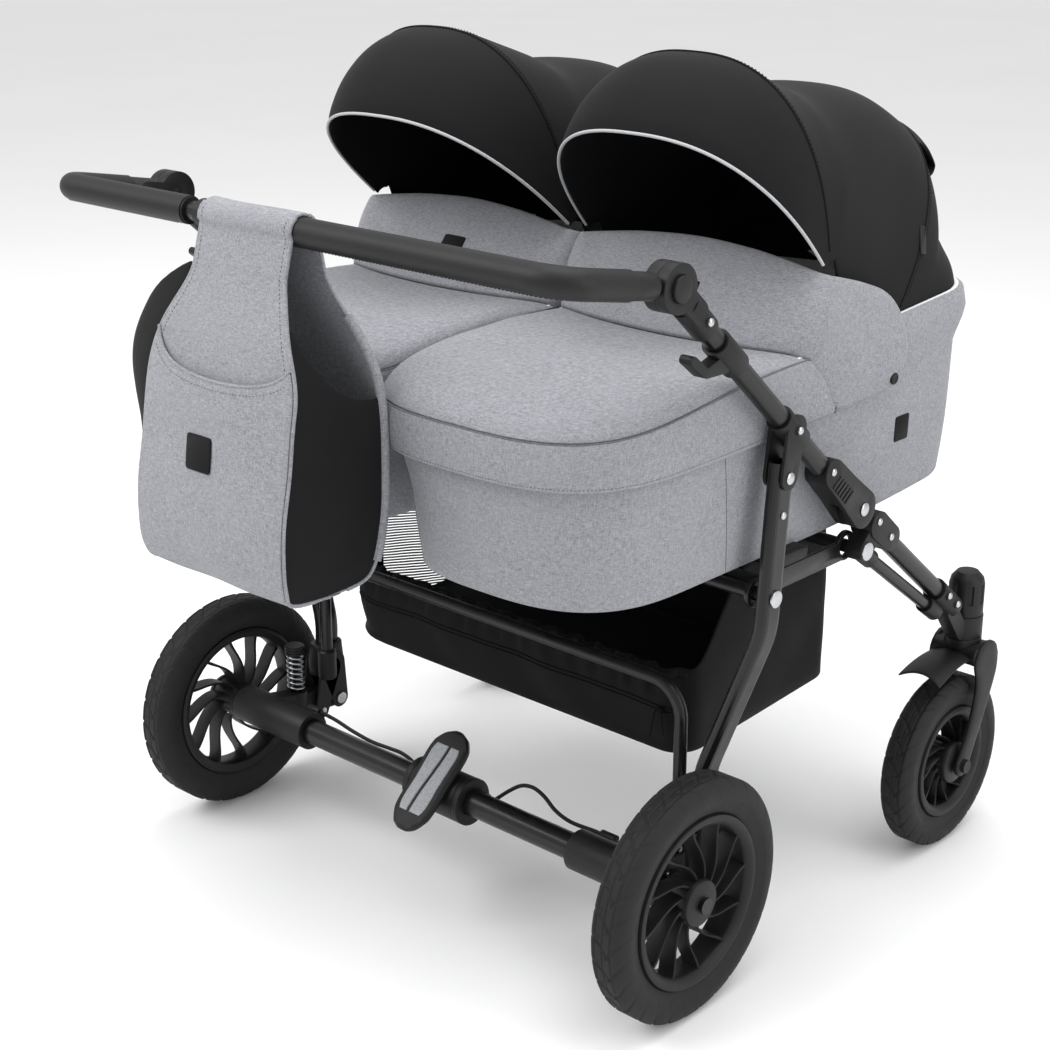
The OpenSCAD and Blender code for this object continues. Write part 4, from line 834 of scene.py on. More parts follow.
def make_tyre(name, centre, radius, width, pitch_count):
    """A tyre whose tread is cut into its crown and fades out down its walls."""
    half_section = tyre_section(radius, width)
    section = [(r, -w) for r, w in reversed(half_section[1:])] + half_section
    tread_foot, fade = radius - width * 0.62, 6.0
    rows = []
    for turn in round_angles(pitch_count * TREAD_STEPS):
        row = []
        for r, w in section:
            share = max(0.0, min(1.0, (r - tread_foot) / fade))
            deep = TREAD_DEPTH * tread_depth(turn, w / (width / 2) * 1.1, pitch_count) if share else 0.0
            bead = 0.9 if abs(r - (radius - BEAD_IN)) < 1.6 else 0.0
            out = r - deep * share + bead
            row.append((centre[0] + w, centre[1] + out * math.cos(turn), centre[2] + out * math.sin(turn)))
        rows.append(row)
    rows.append(rows[0])
    return loft(name, rows, "tyre")


def spoke_blade(inner, outer, lean, depth, thick):
    """One curved turbine blade about the wheel's axis, as rows of [x across, around, out]."""
    rows = []
    for t in np.linspace(0, 1, 13):
        radius = inner + (outer - inner) * t
        turn = lean * math.sin(t * math.pi / 2) ** 1.2
        wide = thick * (1.0 + 0.8 * abs(t - 0.4) ** 1.5)
        swell = depth[0] + (depth[1] - depth[0]) * t
        ring = []
        for x, w in ((swell, 0.5), (swell + 1.2, 0.0), (swell, -0.5), (depth[2], -0.7), (depth[2], 0.7)):
            angle = turn + w * wide / radius
            ring.append((x, radius * math.cos(angle), radius * math.sin(angle)))
        rows.append(ring)
    return rows


def make_rim(name, centre, radius, width, hub_half, outward):
    """A turbine wheel: a dished ring, curved blades, a barrel hub and a cap on its outer face."""
    half = width / 2
    edge = radius - RIM_IN
    pieces = []

    def turned(profile, part, steps=96):
        rows = []
        for k in range(steps + 1):
            a = 2 * math.pi * k / steps
            rows.append([(centre[0] + outward * w, centre[1] + r * math.cos(a), centre[2] + r * math.sin(a))
                         for r, w in profile])
        return loft(name + part, rows, "black_plastic")

    ring = [(edge - inward, half * share) for inward, share in RING_SECTION]
    pieces.append(turned(ring, "_ring"))
    hub = [(HUB_BORE_R, -hub_half), (HUB_R - 8, -hub_half), (HUB_R - 6, 2 - hub_half),
           (HUB_R - 6, half * 0.1), (HUB_R - 2, half * 0.5), (HUB_R - 2, hub_half - 3),
           (HUB_BORE_R, hub_half - 3), (HUB_BORE_R, -hub_half)]
    pieces.append(turned(hub, "_hub", 48))
    cap = [(cap_r, hub_half + rise) for cap_r, rise in CAP_SECTION]
    pieces.append(turned(cap, "_cap", 48))
    depth = (half * 0.66, half * 0.62, -half * 0.25)
    for spin in round_angles(BLADES):
        rows = []
        for row in spoke_blade(HUB_R - 4, edge - 12, BLADE_LEAN, depth, BLADE_THICK):
            rows.append([(centre[0] + outward * x, centre[1] + y * math.cos(spin) - z * math.sin(spin),
                          centre[2] + y * math.sin(spin) + z * math.cos(spin)) for x, y, z in row])
        pieces.append(loft(name + "_blade", rows, "black_plastic", around=True, caps=(True, True)))
    rim = joined(name, pieces)
    sharpen(rim, MOULDED_EDGE)
    return rim


class PRAM_OT_wheels(bpy.types.Operator):
    """Make the four wheels with cut treads and turbine rims"""

    bl_idname = "pram.wheels"
    bl_label = "Wheels"

    def execute(self, context):
        for side, sign in SIDES:
            for end, wheel in WHEELS.items():
                x, y, z = wheel["centre"]
                body = f"{side}_{end}_wheel"
                tyre = make_tyre(f"{side}_{end}_tread", (sign * x, y, z), wheel["radius"], wheel["width"],
                                 wheel["cuts"])
                wear(tyre, body, "tyre", f"{side}_{end}_tyre")
                rim = make_rim(f"{side}_{end}_wheel_rim", (sign * x, y, z), wheel["radius"], wheel["width"],
                               wheel["hub"], sign)
                wear(rim, body, "black_plastic", f"{side}_{end}_rim")
        return {"FINISHED"}


# Front forks

FRONT_WHEEL_X = WHEELS["front"]["centre"][0]
FRONT_AXLE = np.array(WHEELS["front"]["centre"][1:])
SWIVEL_Y, SWIVEL_Z, SOCKET_R = 585.0, 283.0, 24.0
FORK_INSIDE, FORK_WALL = 29.0, 9.0
# Middle line of a fork leg in the side view, with half of its width
FORK_LEG = [(590, 253, 28), (592, 236, 25), (588, 212, 19), (577, 178, 15), (563, 147, 13.5),
            (*FRONT_AXLE, 15)]
# Shares of that half width on the way round a leg's end
LEG_END = (0.12, 0.45, 0.72, 0.9)
GUARD_FROM, GUARD_TO, GUARD_R, GUARD_HALF, GUARD_WALL = 82.0, 117.5, 150.0, 27.0, 2.6
CROWN_Y, CROWN_Z, CROWN_LONG, CROWN_TALL = 586.0, 262.0, 26.0, 15.0
# Share of the way across the crown, with how full its section is there
CROWN_SECTIONS = [(-1.0, 0.8), (-0.96, 0.96), (-0.5, 0.94), (0, 0.9), (0.5, 0.94), (0.96, 0.96), (1.0, 0.8)]
# Radius and height of the round head under the socket
HEAD_SECTION = [(SOCKET_R - 3, 256), (SOCKET_R, 260), (SOCKET_R, SWIVEL_Z - 1.5), (SOCKET_R - 1.5, SWIVEL_Z)]
SPINDLE_CAP_R = 9.0


def fork_leg(name, x):
    """One leg of a fork, swept from its broad round top to the wheel spindle."""
    line = curve_through(FORK_LEG, 6)
    places, halves = line[:, :2], line[:, 2]
    way = unit(np.gradient(places, axis=0))

    def rounded_end(end, ahead):
        rows = []
        for k in LEG_END:
            beyond = ahead * halves[end] * math.sqrt(1 - k * k)
            rows.append((places[end] + way[end] * beyond, way[end], halves[end] * k, 0.55 + 0.45 * k))
        return rows

    steps = rounded_end(0, -1)
    steps += [(p, w, h, 1.0) for p, w, h in zip(places, way, halves)]
    steps += reversed(rounded_end(-1, 1))
    rows = []
    for place, along, half, thick in steps:
        side = np.array([-along[1], along[0]])
        row = []
        for a in round_angles(28):
            out = FORK_WALL / 2 * thick * soft_power(math.sin(a))
            row.append((x + out, *(place + side * half * soft_power(math.cos(a)))))
        rows.append(row)
    return loft(name, rows, "black_plastic", around=True, caps=(True, True))


def fork_guard(name, x):
    """The short arched mudguard behind a fork's head."""
    rows = []
    for turn in np.linspace(GUARD_FROM, GUARD_TO, 14):
        flare = (turn - GUARD_FROM) / (GUARD_TO - GUARD_FROM)
        row = []
        for across in np.linspace(-1, 1, 21):
            a = math.radians(turn - 3.5 * flare * (1 - across * across))
            r = GUARD_R - 6 * across ** 2 + 3 * flare ** 3
            place = FRONT_AXLE + r * np.array([math.cos(a), math.sin(a)])
            row.append((x + (GUARD_HALF + 4 * flare) * across, *place))
        rows.append(row)
    return thicken(loft(name, rows, "black_plastic"), GUARD_WALL, 1)


def fork_crown(name, x):
    """The bridge over the wheel that joins a fork's legs."""
    rows = []
    for across, full in CROWN_SECTIONS:
        rows.append([(x + (FORK_INSIDE + 4) * across, CROWN_Y + CROWN_LONG * full * soft_power(math.cos(a)),
                      CROWN_Z + CROWN_TALL * full * soft_power(math.sin(a))) for a in round_angles(32)])
    return loft(name, rows, "black_plastic", around=True, caps=(True, True))


def fork_head(name, x):
    """The round head that turns under the socket."""
    rows = []
    for r, z in HEAD_SECTION:
        rows.append([(x + r * math.cos(a), SWIVEL_Y + r * math.sin(a), z) for a in round_angles(40)])
    return loft(name, rows, "black_plastic", around=True, caps=(True, True))


class PRAM_OT_forks(bpy.types.Operator):
    """Mould the two front forks with their mudguards"""

    bl_idname = "pram.forks"
    bl_label = "Front forks"

    def execute(self, context):
        for side, sign in SIDES:
            x = sign * FRONT_WHEEL_X
            middle = FORK_INSIDE + FORK_WALL / 2
            pieces = [fork_leg(side + "_fork_leg", x + m * middle) for m in (-1, 1)]
            pieces.append(fork_guard(side + "_mudguard", x))
            pieces.append(fork_crown(side + "_fork_crown", x))
            pieces.append(fork_head(side + "_fork_head", x))
            for m in (-1, 1):
                ends = [(x + m * (FORK_INSIDE + out), *FRONT_AXLE) for out in (2, FORK_WALL + 4.5)]
                pieces.append(tube(side + "_spindle_cap", ends, SPINDLE_CAP_R, "black_plastic", 28))
            fork = joined(side + "_fork_moulding", pieces)
            mend_normals(fork)
            sharpen(fork, MOULDED_EDGE)
            wear(fork, BODY_OF[side + "_fork"], SLOT_OF[side + "_fork"], side + "_fork")
        return {"FINISHED"}


# Push bar grips

HANDLE_X = 395.0
KNUCKLE = np.array([-56.0, 851.0])
BAR = np.array([BAR_Y, BAR_Z])
BAR_BEND = 36.0
# Where the grips start along the bar's arms, and end beside the bag
GRIP_START, GRIP_ENDS = 67.0, {"left": -152.0, "right": -128.0}
GRIP_SEAM = np.array([0, -0.45, -0.9])


class PRAM_OT_grips(bpy.types.Operator):
    """Wrap the push bar in stitched leatherette, with rings at its ends"""

    bl_idname = "pram.grips"
    bl_label = "Push bar grips"

    def execute(self, context):
        grip_r = context.scene.pram_sizes.grip_diameter / 2 / MM
        along = unit(BAR - KNUCKLE)
        start = KNUCKLE + along * GRIP_START
        for side, sign in SIDES:
            path = [(sign * HANDLE_X, *start), (sign * HANDLE_X, *(BAR - along * (BAR_BEND + 40)))]
            for a in np.radians(np.linspace(0, 90, 13)):
                inward = BAR_BEND * (1 - math.cos(a))
                forward = BAR - along * BAR_BEND * (1 - math.sin(a))
                path.append((sign * (HANDLE_X - inward), *forward))
            path += [(x, *BAR) for x in np.linspace(sign * 340.0, GRIP_ENDS[side], 12)]
            line = resample(path, 90)
            grip = tube(side + "_grip", line, grip_r, "grip", 36)
            rings = []
            for place, out in ((line[0], line[0] - line[1]), (line[-1], line[-1] - line[-2])):
                ends = [place - unit(out) * 1.0, place + unit(out) * 3.0]
                rings.append(tube(side + "_grip_ring", ends, grip_r - 1.2, "black_plastic", 36))
            seam = (line + GRIP_SEAM * grip_r)[6:-4]
            rings.append(stitches(side + "_grip_seam", seam, GRIP_SEAM, 5.0, "thread", 0.1, 1.1))
            wear(joined(side + "_bar_grip", [grip] + rings), "handle", "grip", "handle_grips")
        return {"FINISHED"}


# Cots

# Half width and ends of a cot at its rim, and of its base
COT_HALF, COT_FOOT, COT_HEAD = 180.0, -150.0, 606.0
BASE_HALF, BASE_FOOT, BASE_HEAD = 173.0, -124.0, 594.0
# The base is flat as far as the head end's rise
FLAT_HEAD, RISE_FROM, RISE = 504.0, 250.0, 18.0
FLOOR_Z = 500.0
RIM_FOOT_Z, RIM_HEAD_Z = 694.0, 751.0
FOOT_DEPTH = 165.0
HEAD_CORNER = 80.0
FOOT_STEPS = 48
# A cot's side that faces the other cot draws in below its rim
INNER_TAPER, TAPER_TOP, TAPER_TALL = 34.0, 690.0, 110.0
# The tub's upright seams, as shares of its outline, and its label's place and size
TUB_SEAMS = (0.115, 0.385)
TUB_LABEL, TUB_LABEL_OUT, TUB_LABEL_SIZE = (437, 592), 178.6, (30, 32, 0.9)
# The padding round a cot's head: how far it stands out, where it starts, and how it lies under the rim
HEAD_PAD, HEAD_PAD_FROM, HEAD_PAD_RUN, HEAD_PAD_DOWN, HEAD_PAD_HALF = 8.0, 300.0, 110.0, 28.0, 36.0
MATTRESS_LOW, MATTRESS_HIGH = FLOOR_Z + 10.4, FLOOR_Z + 44.4
QUILT_PITCH, QUILT_RISE = 38.0, 1.6


def rim_z(y):
    """Height of a cot's rim along the cot."""
    return RIM_FOOT_Z + (RIM_HEAD_Z - RIM_FOOT_Z) * (y - COT_FOOT) / (COT_HEAD - COT_FOOT)


def base_z(y):
    """Height of a cot's base along the cot."""
    return FLOOR_Z + RISE * np.maximum(0, (y - RISE_FROM) / (BASE_HEAD - RISE_FROM)) ** 2


def ease(value):
    """A share from 0 to 1 that starts and ends softly."""
    share = np.clip(value, 0, 1)
    return share * share * (3 - 2 * share)


def soft_power(value):
    """Makes a sine or cosine fuller, so that a circle turns into a rounded block."""
    return math.copysign(abs(value) ** 0.67, value)


def soft_corner(value):
    """Makes a sine or cosine so full that a circle turns into a square with small corners."""
    return math.copysign(abs(value) ** 0.18, value)


def cot_outline(off, half=COT_HALF, foot=COT_FOOT, head=COT_HEAD):
    """Plan outline of a cot about its own middle, from its left side round the foot and back by the head."""
    wide = half + off
    top = head + off
    arc = [(wide * soft_power(math.cos(a)), foot + FOOT_DEPTH + (FOOT_DEPTH + off) * soft_power(math.sin(a)))
           for a in np.radians(np.linspace(180, 360, FOOT_STEPS + 1))]
    side = [(wide, y) for y in np.linspace(foot + FOOT_DEPTH, top - HEAD_CORNER, 26)[1:-1]]
    corner = [(wide - HEAD_CORNER * (1 - math.cos(a)), top - HEAD_CORNER * (1 - math.sin(a)))
              for a in np.radians(np.linspace(0, 90, 13))]
    end = [(x, top) for x in np.linspace(wide - HEAD_CORNER, HEAD_CORNER - wide, 14)[1:-1]]
    right = side + corner
    return np.array(arc + right + end + [(-x, y) for x, y in reversed(right)])


def foot_line(off, reach, count):
    """The outline's part round the foot, from reach on the left side to reach on the right."""
    wide = COT_HALF + off
    return resample(np.vstack([[(-wide, reach)], cot_outline(off)[:FOOT_STEPS + 1], [(wide, reach)]]), count)


def base_outline(off, head=BASE_HEAD):
    """Plan outline of a cot's base."""
    return cot_outline(off, BASE_HALF, BASE_FOOT, head)


def lifted(outline, height):
    """An outline raised to one height, or each of its points to its own."""
    heights = np.broadcast_to(height, len(outline))
    return np.column_stack([outline, heights])


def shifted(rows, x):
    """Points moved across the pram."""
    return np.asarray(rows, float) + np.array([x, 0, 0])


def drawn_in(rows, sign):
    """Draws a cot's inner side in below its rim, where it faces the other cot."""
    rows = np.array(rows, float)
    inner = np.clip(-sign * rows[..., 0] / COT_HALF, 0, 1)
    rows[..., 0] += sign * INNER_TAPER * inner * ease((TAPER_TOP - rows[..., 2]) / TAPER_TALL)
    return rows


def cushion(points, amount, size, seed):
    """Small soft swells of a cloth surface, as a height for each point."""
    p = np.asarray(points, float) / size
    wave = np.sin(p[..., 0] * 1.3 + seed) * np.sin(p[..., 1] * 1.1 + 2 * seed)
    wave += 0.6 * np.sin(p[..., 0] * 2.3 - p[..., 1] * 1.7 + 3 * seed + p[..., 2] * 1.4)
    wave += 0.4 * np.sin(p[..., 1] * 3.1 + p[..., 2] * 2.3 + seed)
    return amount * wave


def tub_rows():
    """Rows of a tub's outer cloth, from under its base up to its rim."""
    base = base_outline(0)
    low = lifted(base, base_z(base[:, 1]) - 1)
    edge = lifted(base_outline(-4), base_z(base[:, 1]) - 5)
    rim = cot_outline(0)
    high = lifted(rim, rim_z(rim[:, 1]) - 4)
    out = lifted(cot_outline(1) - rim, 0)
    rows = [lifted(base_outline(off, FLAT_HEAD), FLOOR_Z + up) for off, up in ((-40, 0.5), (-26, 0.2))]
    rows += [0.3 * rows[1] + 0.7 * edge + np.array([0, 0, 1.4]), edge, (edge + low) / 2 + out * 0.8]
    for t in np.linspace(0, 1, 22):
        row = low * (1 - t) + high * t
        y, z = row[:, 1], row[:, 2]
        under_rim = np.clip(1 - abs(z - rim_z(y) + HEAD_PAD_DOWN) / HEAD_PAD_HALF, 0, 1) ** 0.7
        padded_head = HEAD_PAD * ease((y - HEAD_PAD_FROM) / HEAD_PAD_RUN) * under_rim
        belly = 2.2 * math.sin(math.pi * min(1, t * 1.25)) + cushion(row, 0.5, 60, 1.7)
        rows.append(row + out * (padded_head + belly)[:, None])
    rows.append(lifted(cot_outline(-1.0), rim_z(rim[:, 1]) - 0.8))
    return rows


def make_tub(name, x, sign):
    """A tub of grey cloth with its cotton lining."""
    rim = cot_outline(0)
    top = rim_z(rim[:, 1])
    rows = drawn_in(tub_rows(), sign)
    outer = loft(name + "_outer", shifted(rows, x), "grey_fabric", around=True, caps=(True, False))
    inside = [lifted(cot_outline(off), top - down) for off, down in ((-1.0, 0.8), (-4.0, 0.2))]
    lid = lifted(cot_outline(-7), top - 3)
    base = lifted(base_outline(-8), base_z(rim[:, 1]) + 16)
    inside += [lid * (1 - t) + base * t for t in np.linspace(0, 1, 8)]
    inside += [lifted(base_outline(off, FLAT_HEAD), FLOOR_Z + 9) for off in (-20, -50)]
    inside = drawn_in(inside, sign)
    inner = loft(name + "_inner", shifted(inside, x), "lining", around=True, caps=(False, True))
    tub = joined(name, [outer, inner])
    mend_normals(tub)
    tub.data.shade_smooth()
    return tub


def make_mattress(name, x, sign):
    """A quilted mattress, with a rolled edge and stitched channels across it."""
    low, high = MATTRESS_LOW, MATTRESS_HIGH
    rolled = ((-60, low), (-30, low), (-25, low + 4), (-24, low + 15), (-26, high - 8), (-32, high - 2.5))
    rows = [lifted(base_outline(off, FLAT_HEAD), z) for off, z in rolled]
    edge = base_outline(-32, FLAT_HEAD)
    middle = np.array([0, 150.0])
    for t in np.linspace(0.1, 0.96, 16):
        ring = edge * (1 - t) + middle * t
        across, along = ring.T
        quilt = np.abs(np.sin((across + along) / QUILT_PITCH) * np.sin((across - along) / QUILT_PITCH))
        rows.append(lifted(ring, high - 2.2 * (1 - t) + QUILT_RISE * quilt * min(1, t * 4)))
    return loft(name, shifted(drawn_in(rows, sign), x), "lining", around=True, caps=(True, True))


def tag(name, centre, across, up, size, finish="black_fabric"):
    """A bare woven label sewn flat on a surface."""
    across = Vector(across).normalized()
    up = (Vector(up) - Vector(up).dot(across) * across).normalized()
    out = across.cross(up)
    wide, tall, thick = size
    rows = []
    for w, t in ((0.96, 0.0), (1.0, 0.0), (1.0, 0.6), (0.97, 1.0)):
        ring = []
        for a in round_angles(32):
            x = soft_corner(math.cos(a)) * wide / 2 * w
            y = soft_corner(math.sin(a)) * tall / 2 * w
            ring.append(Vector(centre) + across * x + up * y + out * (t * thick))
        rows.append([tuple(p) for p in ring])
    return loft(name, rows, finish, around=True, caps=(True, True))


class PRAM_OT_cots(bpy.types.Operator):
    """Make the two cot tubs and their mattresses"""

    bl_idname = "pram.cots"
    bl_label = "Cots"

    def execute(self, context):
        for side, sign in SIDES:
            x = sign * COT_X
            body = side + "_cot_body"
            tub = make_tub(side + "_tub", x, sign)
            seams = []
            wall = np.array(tub_rows()[5:-2])
            for share in TUB_SEAMS:
                column = wall[:, int(share * (wall.shape[1] - 1))]
                line = shifted(drawn_in(column, sign), x)
                seams.append(tube(side + "_tub_seam", line, 0.5, "grey_dark", 6))
            place = (x + sign * TUB_LABEL_OUT, *TUB_LABEL)
            seams.append(tag(side + "_tub_label", place, (0, sign, 0), (sign * 0.03, 0, 1), TUB_LABEL_SIZE))
            wear(joined(side + "_cot_tub", [tub] + seams), body, "grey_fabric", side + "_cot")
            pad = make_mattress(side + "_cot_mattress", x, sign)
            wear(pad, body, "lining", side + "_mattress")
        return {"FINISHED"}


# Aprons

SEAM_END_Y, SEAM_FOOT_Z, SEAM_END_Z = 223.0, 689.0, 719.0
SKIRT_END_Y, SKIRT_HEM_Z, SKIRT_HEM_RISE = 281.0, 638.5, 7.0
# How far the cover stands off the cot's outline
COVER_OFF = 3.5
COVER_WALL, SKIRT_WALL, FLAP_WALL = 2.5, 2.6, 5.0
# Right halves of the fold where the wind flap starts, and of the flap's own lower and upper edges
FOLD_TOP = [(0, 182, 727), (80, 187, 727), (135, 199, 726), (164, 211, 724)]
FOLD_HALF = FOLD_TOP + [(183.5, SEAM_END_Y, 718.5)]
FLAP_LOW = FOLD_TOP + [(181, 226, 716), (184, 252, 688), (185, 282, 650), (185.5, 330, 649),
                       (185.8, 370, 652), (186, 401, 655)]
FLAP_HIGH = [(0, 266, 826), (80, 264, 822), (140, 259, 815), (168, 256, 811), (182, 261, 808),
             (186, 280, 803), (186.4, 325, 790), (186.6, 374, 770), (186.8, 408, 736), (187, 421, 700)]
FLAP_COLUMNS = 110
# The flap's label by row and column of its cloth, and the snaps' place in the side view
LABEL_ROW, LABEL_COLUMN, FLAP_LABEL_SIZE = 6, 57, (36, 34, 1.4)
SNAP_Y, SNAP_Z = 390.0, 668.0
SNAP = [(7.4, 0), (7.4, 1.2), (6.6, 2.4), (4.8, 3.0), (4.2, 2.2), (0.4, 1.9)]


def both_halves(half):
    """A line across the pram from its right half."""
    right = np.asarray(half, float)
    left = right[:0:-1] * np.array([-1, 1, 1])
    return np.vstack([left, right])


def seam_z(y):
    """Height of the apron's edge seam along the cot."""
    share = ease((y - COT_FOOT) / (SEAM_END_Y - COT_FOOT)) ** 0.9
    return SEAM_FOOT_Z + (SEAM_END_Z - SEAM_FOOT_Z) * share


def apron_top():
    """Rows of the domed top panel, from the wind flap's fold to the edge seam."""
    count = 90
    fold = resample(curve_through(both_halves(FOLD_HALF), 8), count)
    edge = foot_line(COVER_OFF, SEAM_END_Y, count)
    edge = lifted(edge, seam_z(edge[:, 1]))
    rows = []
    for t in np.linspace(0, 1, 22) ** 0.8:
        row = fold * (1 - t) + edge * t
        row[:, 2] = edge[:, 2] + (fold[:, 2] - edge[:, 2]) * (1 - t)
        crown = np.maximum(0, 1 - t ** 5) ** 0.6 - (1 - t)
        reach = np.linalg.norm(fold[:, :2] - edge[:, :2], axis=1)
        row[:, 2] += crown * (np.maximum(8, fold[:, 2] - edge[:, 2]) + 6) * np.clip(reach / 120, 0, 1)
        row[:, 2] += cushion(row, 1.1, 55, 0.9) * math.sin(math.pi * t) * np.clip(reach / 60, 0, 1)
        rows.append(row)
    return rows


def skirt_rows():
    """Rows of the skirt that hangs over the cot's foot, from the edge seam down to the hem."""
    rows = []
    for t in np.linspace(0, 1, 14):
        reach = SEAM_END_Y + (SKIRT_END_Y - SEAM_END_Y) * (1 - (1 - t) ** 2) ** 0.5
        line = foot_line(COVER_OFF + 2.2 * math.sin(math.pi * t) + 1.6 * t, reach, 120)
        high = seam_z(np.minimum(line[:, 1], SEAM_END_Y))
        low = SKIRT_HEM_Z + SKIRT_HEM_RISE * ease((line[:, 1] - 60) / 220)
        rows.append(lifted(line, high * (1 - t) + low * t))
    return rows


def flap_rows():
    """Rows of the padded wind flap, from its lower edge to its upper one."""
    low = resample(curve_through(both_halves(FLAP_LOW), 8), FLAP_COLUMNS * 3)[::3]
    high = resample(curve_through(both_halves(FLAP_HIGH), 8), FLAP_COLUMNS * 3)[::3]
    along = np.gradient((low + high) / 2, axis=0)
    out = unit(np.cross(along, high - low))
    facing = np.einsum("ij,ij->i", out[:, :2], ((low + high) / 2)[:, :2] - np.array([0, 330.0]))
    out *= np.sign(facing)[:, None]
    rows = []
    for t in np.linspace(0, 1, 16):
        row = low * (1 - t) + high * t
        puff = 7 * math.sin(math.pi * t) ** 0.7
        rows.append(row + out * (puff + cushion(row, 0.9, 34, 2.1) * math.sin(math.pi * t))[:, None])
    return rows


class PRAM_OT_aprons(bpy.types.Operator):
    """Make the buttoned foot covers with their raised wind flaps"""

    bl_idname = "pram.aprons"
    bl_label = "Aprons"

    def execute(self, context):
        for side, sign in SIDES:
            x = sign * COT_X
            top_rows = shifted(apron_top(), x)
            skirt = shifted(drawn_in(skirt_rows(), sign), x)
            flap = shifted(flap_rows(), x)
            pieces = [thicken(loft(side + "_top", top_rows, "grey_fabric"), COVER_WALL, 1, -1),
                      thicken(loft(side + "_skirt", skirt, "grey_fabric"), SKIRT_WALL, 1),
                      thicken(loft(side + "_flap", flap, "grey_fabric"), FLAP_WALL, 1)]
            edge = top_rows[-1]
            pieces.append(tube(side + "_edge_seam", edge + np.array([0, 0, -0.6]), 1.3, "grey_dark", 8))
            pieces.append(tube(side + "_fold_seam", top_rows[0], 1.1, "grey_dark", 8))
            for shift in (0, -1):
                rear = np.array([row[shift] for row in skirt])
                pieces.append(tube(side + "_skirt_edge", rear, 1.5, "grey_dark", 8))
            hem = skirt[-2]
            outward = unit((hem - np.array([x, 60, 0])) * np.array([1, 1, 0]))
            pieces.append(stitches(side + "_hem_stitch", hem, outward, 4.2, "grey_dark", 1.5, 0.8))
            rise = flap[LABEL_ROW + 3][LABEL_COLUMN] - flap[LABEL_ROW - 2][LABEL_COLUMN]
            run = flap[LABEL_ROW][LABEL_COLUMN + 2] - flap[LABEL_ROW][LABEL_COLUMN - 2]
            place = flap[LABEL_ROW][LABEL_COLUMN] + unit(np.cross(run, rise)) * 2.6
            pieces.append(tag(side + "_flap_label", place, (1, 0, 0), rise, FLAP_LABEL_SIZE))
            button = round_shape("snap", SNAP, 28)
            spots = []
            for m in (-1, 1):
                cloth = flap.reshape(-1, 3)
                cloth = cloth[(cloth[:, 0] - x) * m > 0]
                place = cloth[np.argmin(np.hypot(cloth[:, 1] - SNAP_Y, cloth[:, 2] - SNAP_Z))]
                spots.append((tuple(place + np.array([m * 2.4, 0, 0])), (m, 0, 0), (0, 1, 0), 1.0))
            pieces.append(spread_shapes(side + "_snaps", button, spots, "black_plastic"))
            cover = joined(side + "_cot_cover", pieces)
            wear(cover, side + "_cot_body", "grey_fabric", side + "_apron")
        return {"FINISHED"}


# Hoods

HINGE = np.array([275.0, 800.0])
HINGE_R = 18.0
HOOD_HALF = 174.0
HOOD_POWER = 2.5
HOOD_COLUMNS = 90
BOW_STEPS = 4
# Bows that turn about the hinge, as angle and reach, from the open front rim over the raised arch
ARCH_BOWS = [(132, 215), (127, 226), (118, 238), (108, 244), (99, 242), (95, 233), (88, 219), (78, 211),
             (66, 211)]
# Bows of the rear panel, as the crown's place, the foot's place along the rim and its height over the rim
REAR_BOWS = [(441, 989, 302, 42), (499, 979, 345, -6), (545, 958, 384, -8), (568, 941, 414, -8),
             (582, 914, 438, -8), (584, 886, 458, -8), (574, 860, 475, -8), (573, 842, 488, -8),
             (591, 815, 500, -8), (607, 790, 512, -8), (611, 762, 522, -9), (603, 736, 528, -12)]
ARCH_SEAM, REAR_SEAM = 4 * BOW_STEPS, 12 * BOW_STEPS
# How much further each hood stands open, in degrees, and how much further its bows reach
HOOD_OPENING = {"left": 8.0, "right": 0.0}
HOOD_STRETCH = {"left": 14.0, "right": 0.0}
OPENING_SPAN = 40.0
# The line in the side view along which the cloth goes over from the cot to the folding canopy
FOLD_FROM, FOLD_TO = (382.0, 1002.0), (254.0, 1036.0)
HOOD_WALL, VENT_WALL = 3.4, 2.4
VENT_TIP_Y, VENT_DROP = 621.0, 34.0
VENT_SHARE = (0.34, 0.66)
VENT_STEPS = 10
# The vent's folded lip, as steps along the pram and down
VENT_LIP = [(0.5, 4.0), (-1.5, 8.0), (-5.0, 12.0), (-12.0, 14.0)]
# Heights of the loop on the rear seam and of the seam above it, and the loop's size
LOOP_Z, LOOP_ABOVE_Z, LOOP_SIZE = 815.0, 845.0, (13, 34, 1.4)


def hood_bows(side):
    """Crown and foot of each bow in the side view, from the front rim to the head of the cot."""
    crowns, feet = [], []
    for turn, reach in ARCH_BOWS:
        share = float(ease((turn - ARCH_BOWS[-1][0]) / OPENING_SPAN))
        a = math.radians(turn + HOOD_OPENING[side] * share)
        way = np.array([math.cos(a), math.sin(a)])
        crowns.append(HINGE + (reach + HOOD_STRETCH[side] * share) * way)
        feet.append(HINGE + HINGE_R * way)
    for crown_y, crown_z, foot_y, rise in REAR_BOWS:
        crowns.append((crown_y, crown_z))
        feet.append((foot_y, rim_z(foot_y) + rise))
    return list(zip(curve_through(crowns, BOW_STEPS), curve_through(feet, BOW_STEPS)))


def bow_line(bow, lift=0.0, share=(0.0, 1.0), count=HOOD_COLUMNS):
    """One bow of the hood, as points from its left foot over the crown to its right foot."""
    crown, foot = bow
    reach = np.linalg.norm(crown - foot)
    way = (crown - foot) / reach
    points = []
    for a in np.radians(np.linspace(-90, 90, 121)):
        x = HOOD_HALF * math.sin(a)
        r = (reach + lift) * max(0, 1 - abs(x / HOOD_HALF) ** HOOD_POWER) ** (1 / HOOD_POWER)
        points.append((x, *(foot + way * r)))
    fine = resample(points, 400)
    first, last = (int(end * (len(fine) - 1)) for end in share)
    return resample(fine[first:last + 1], count)


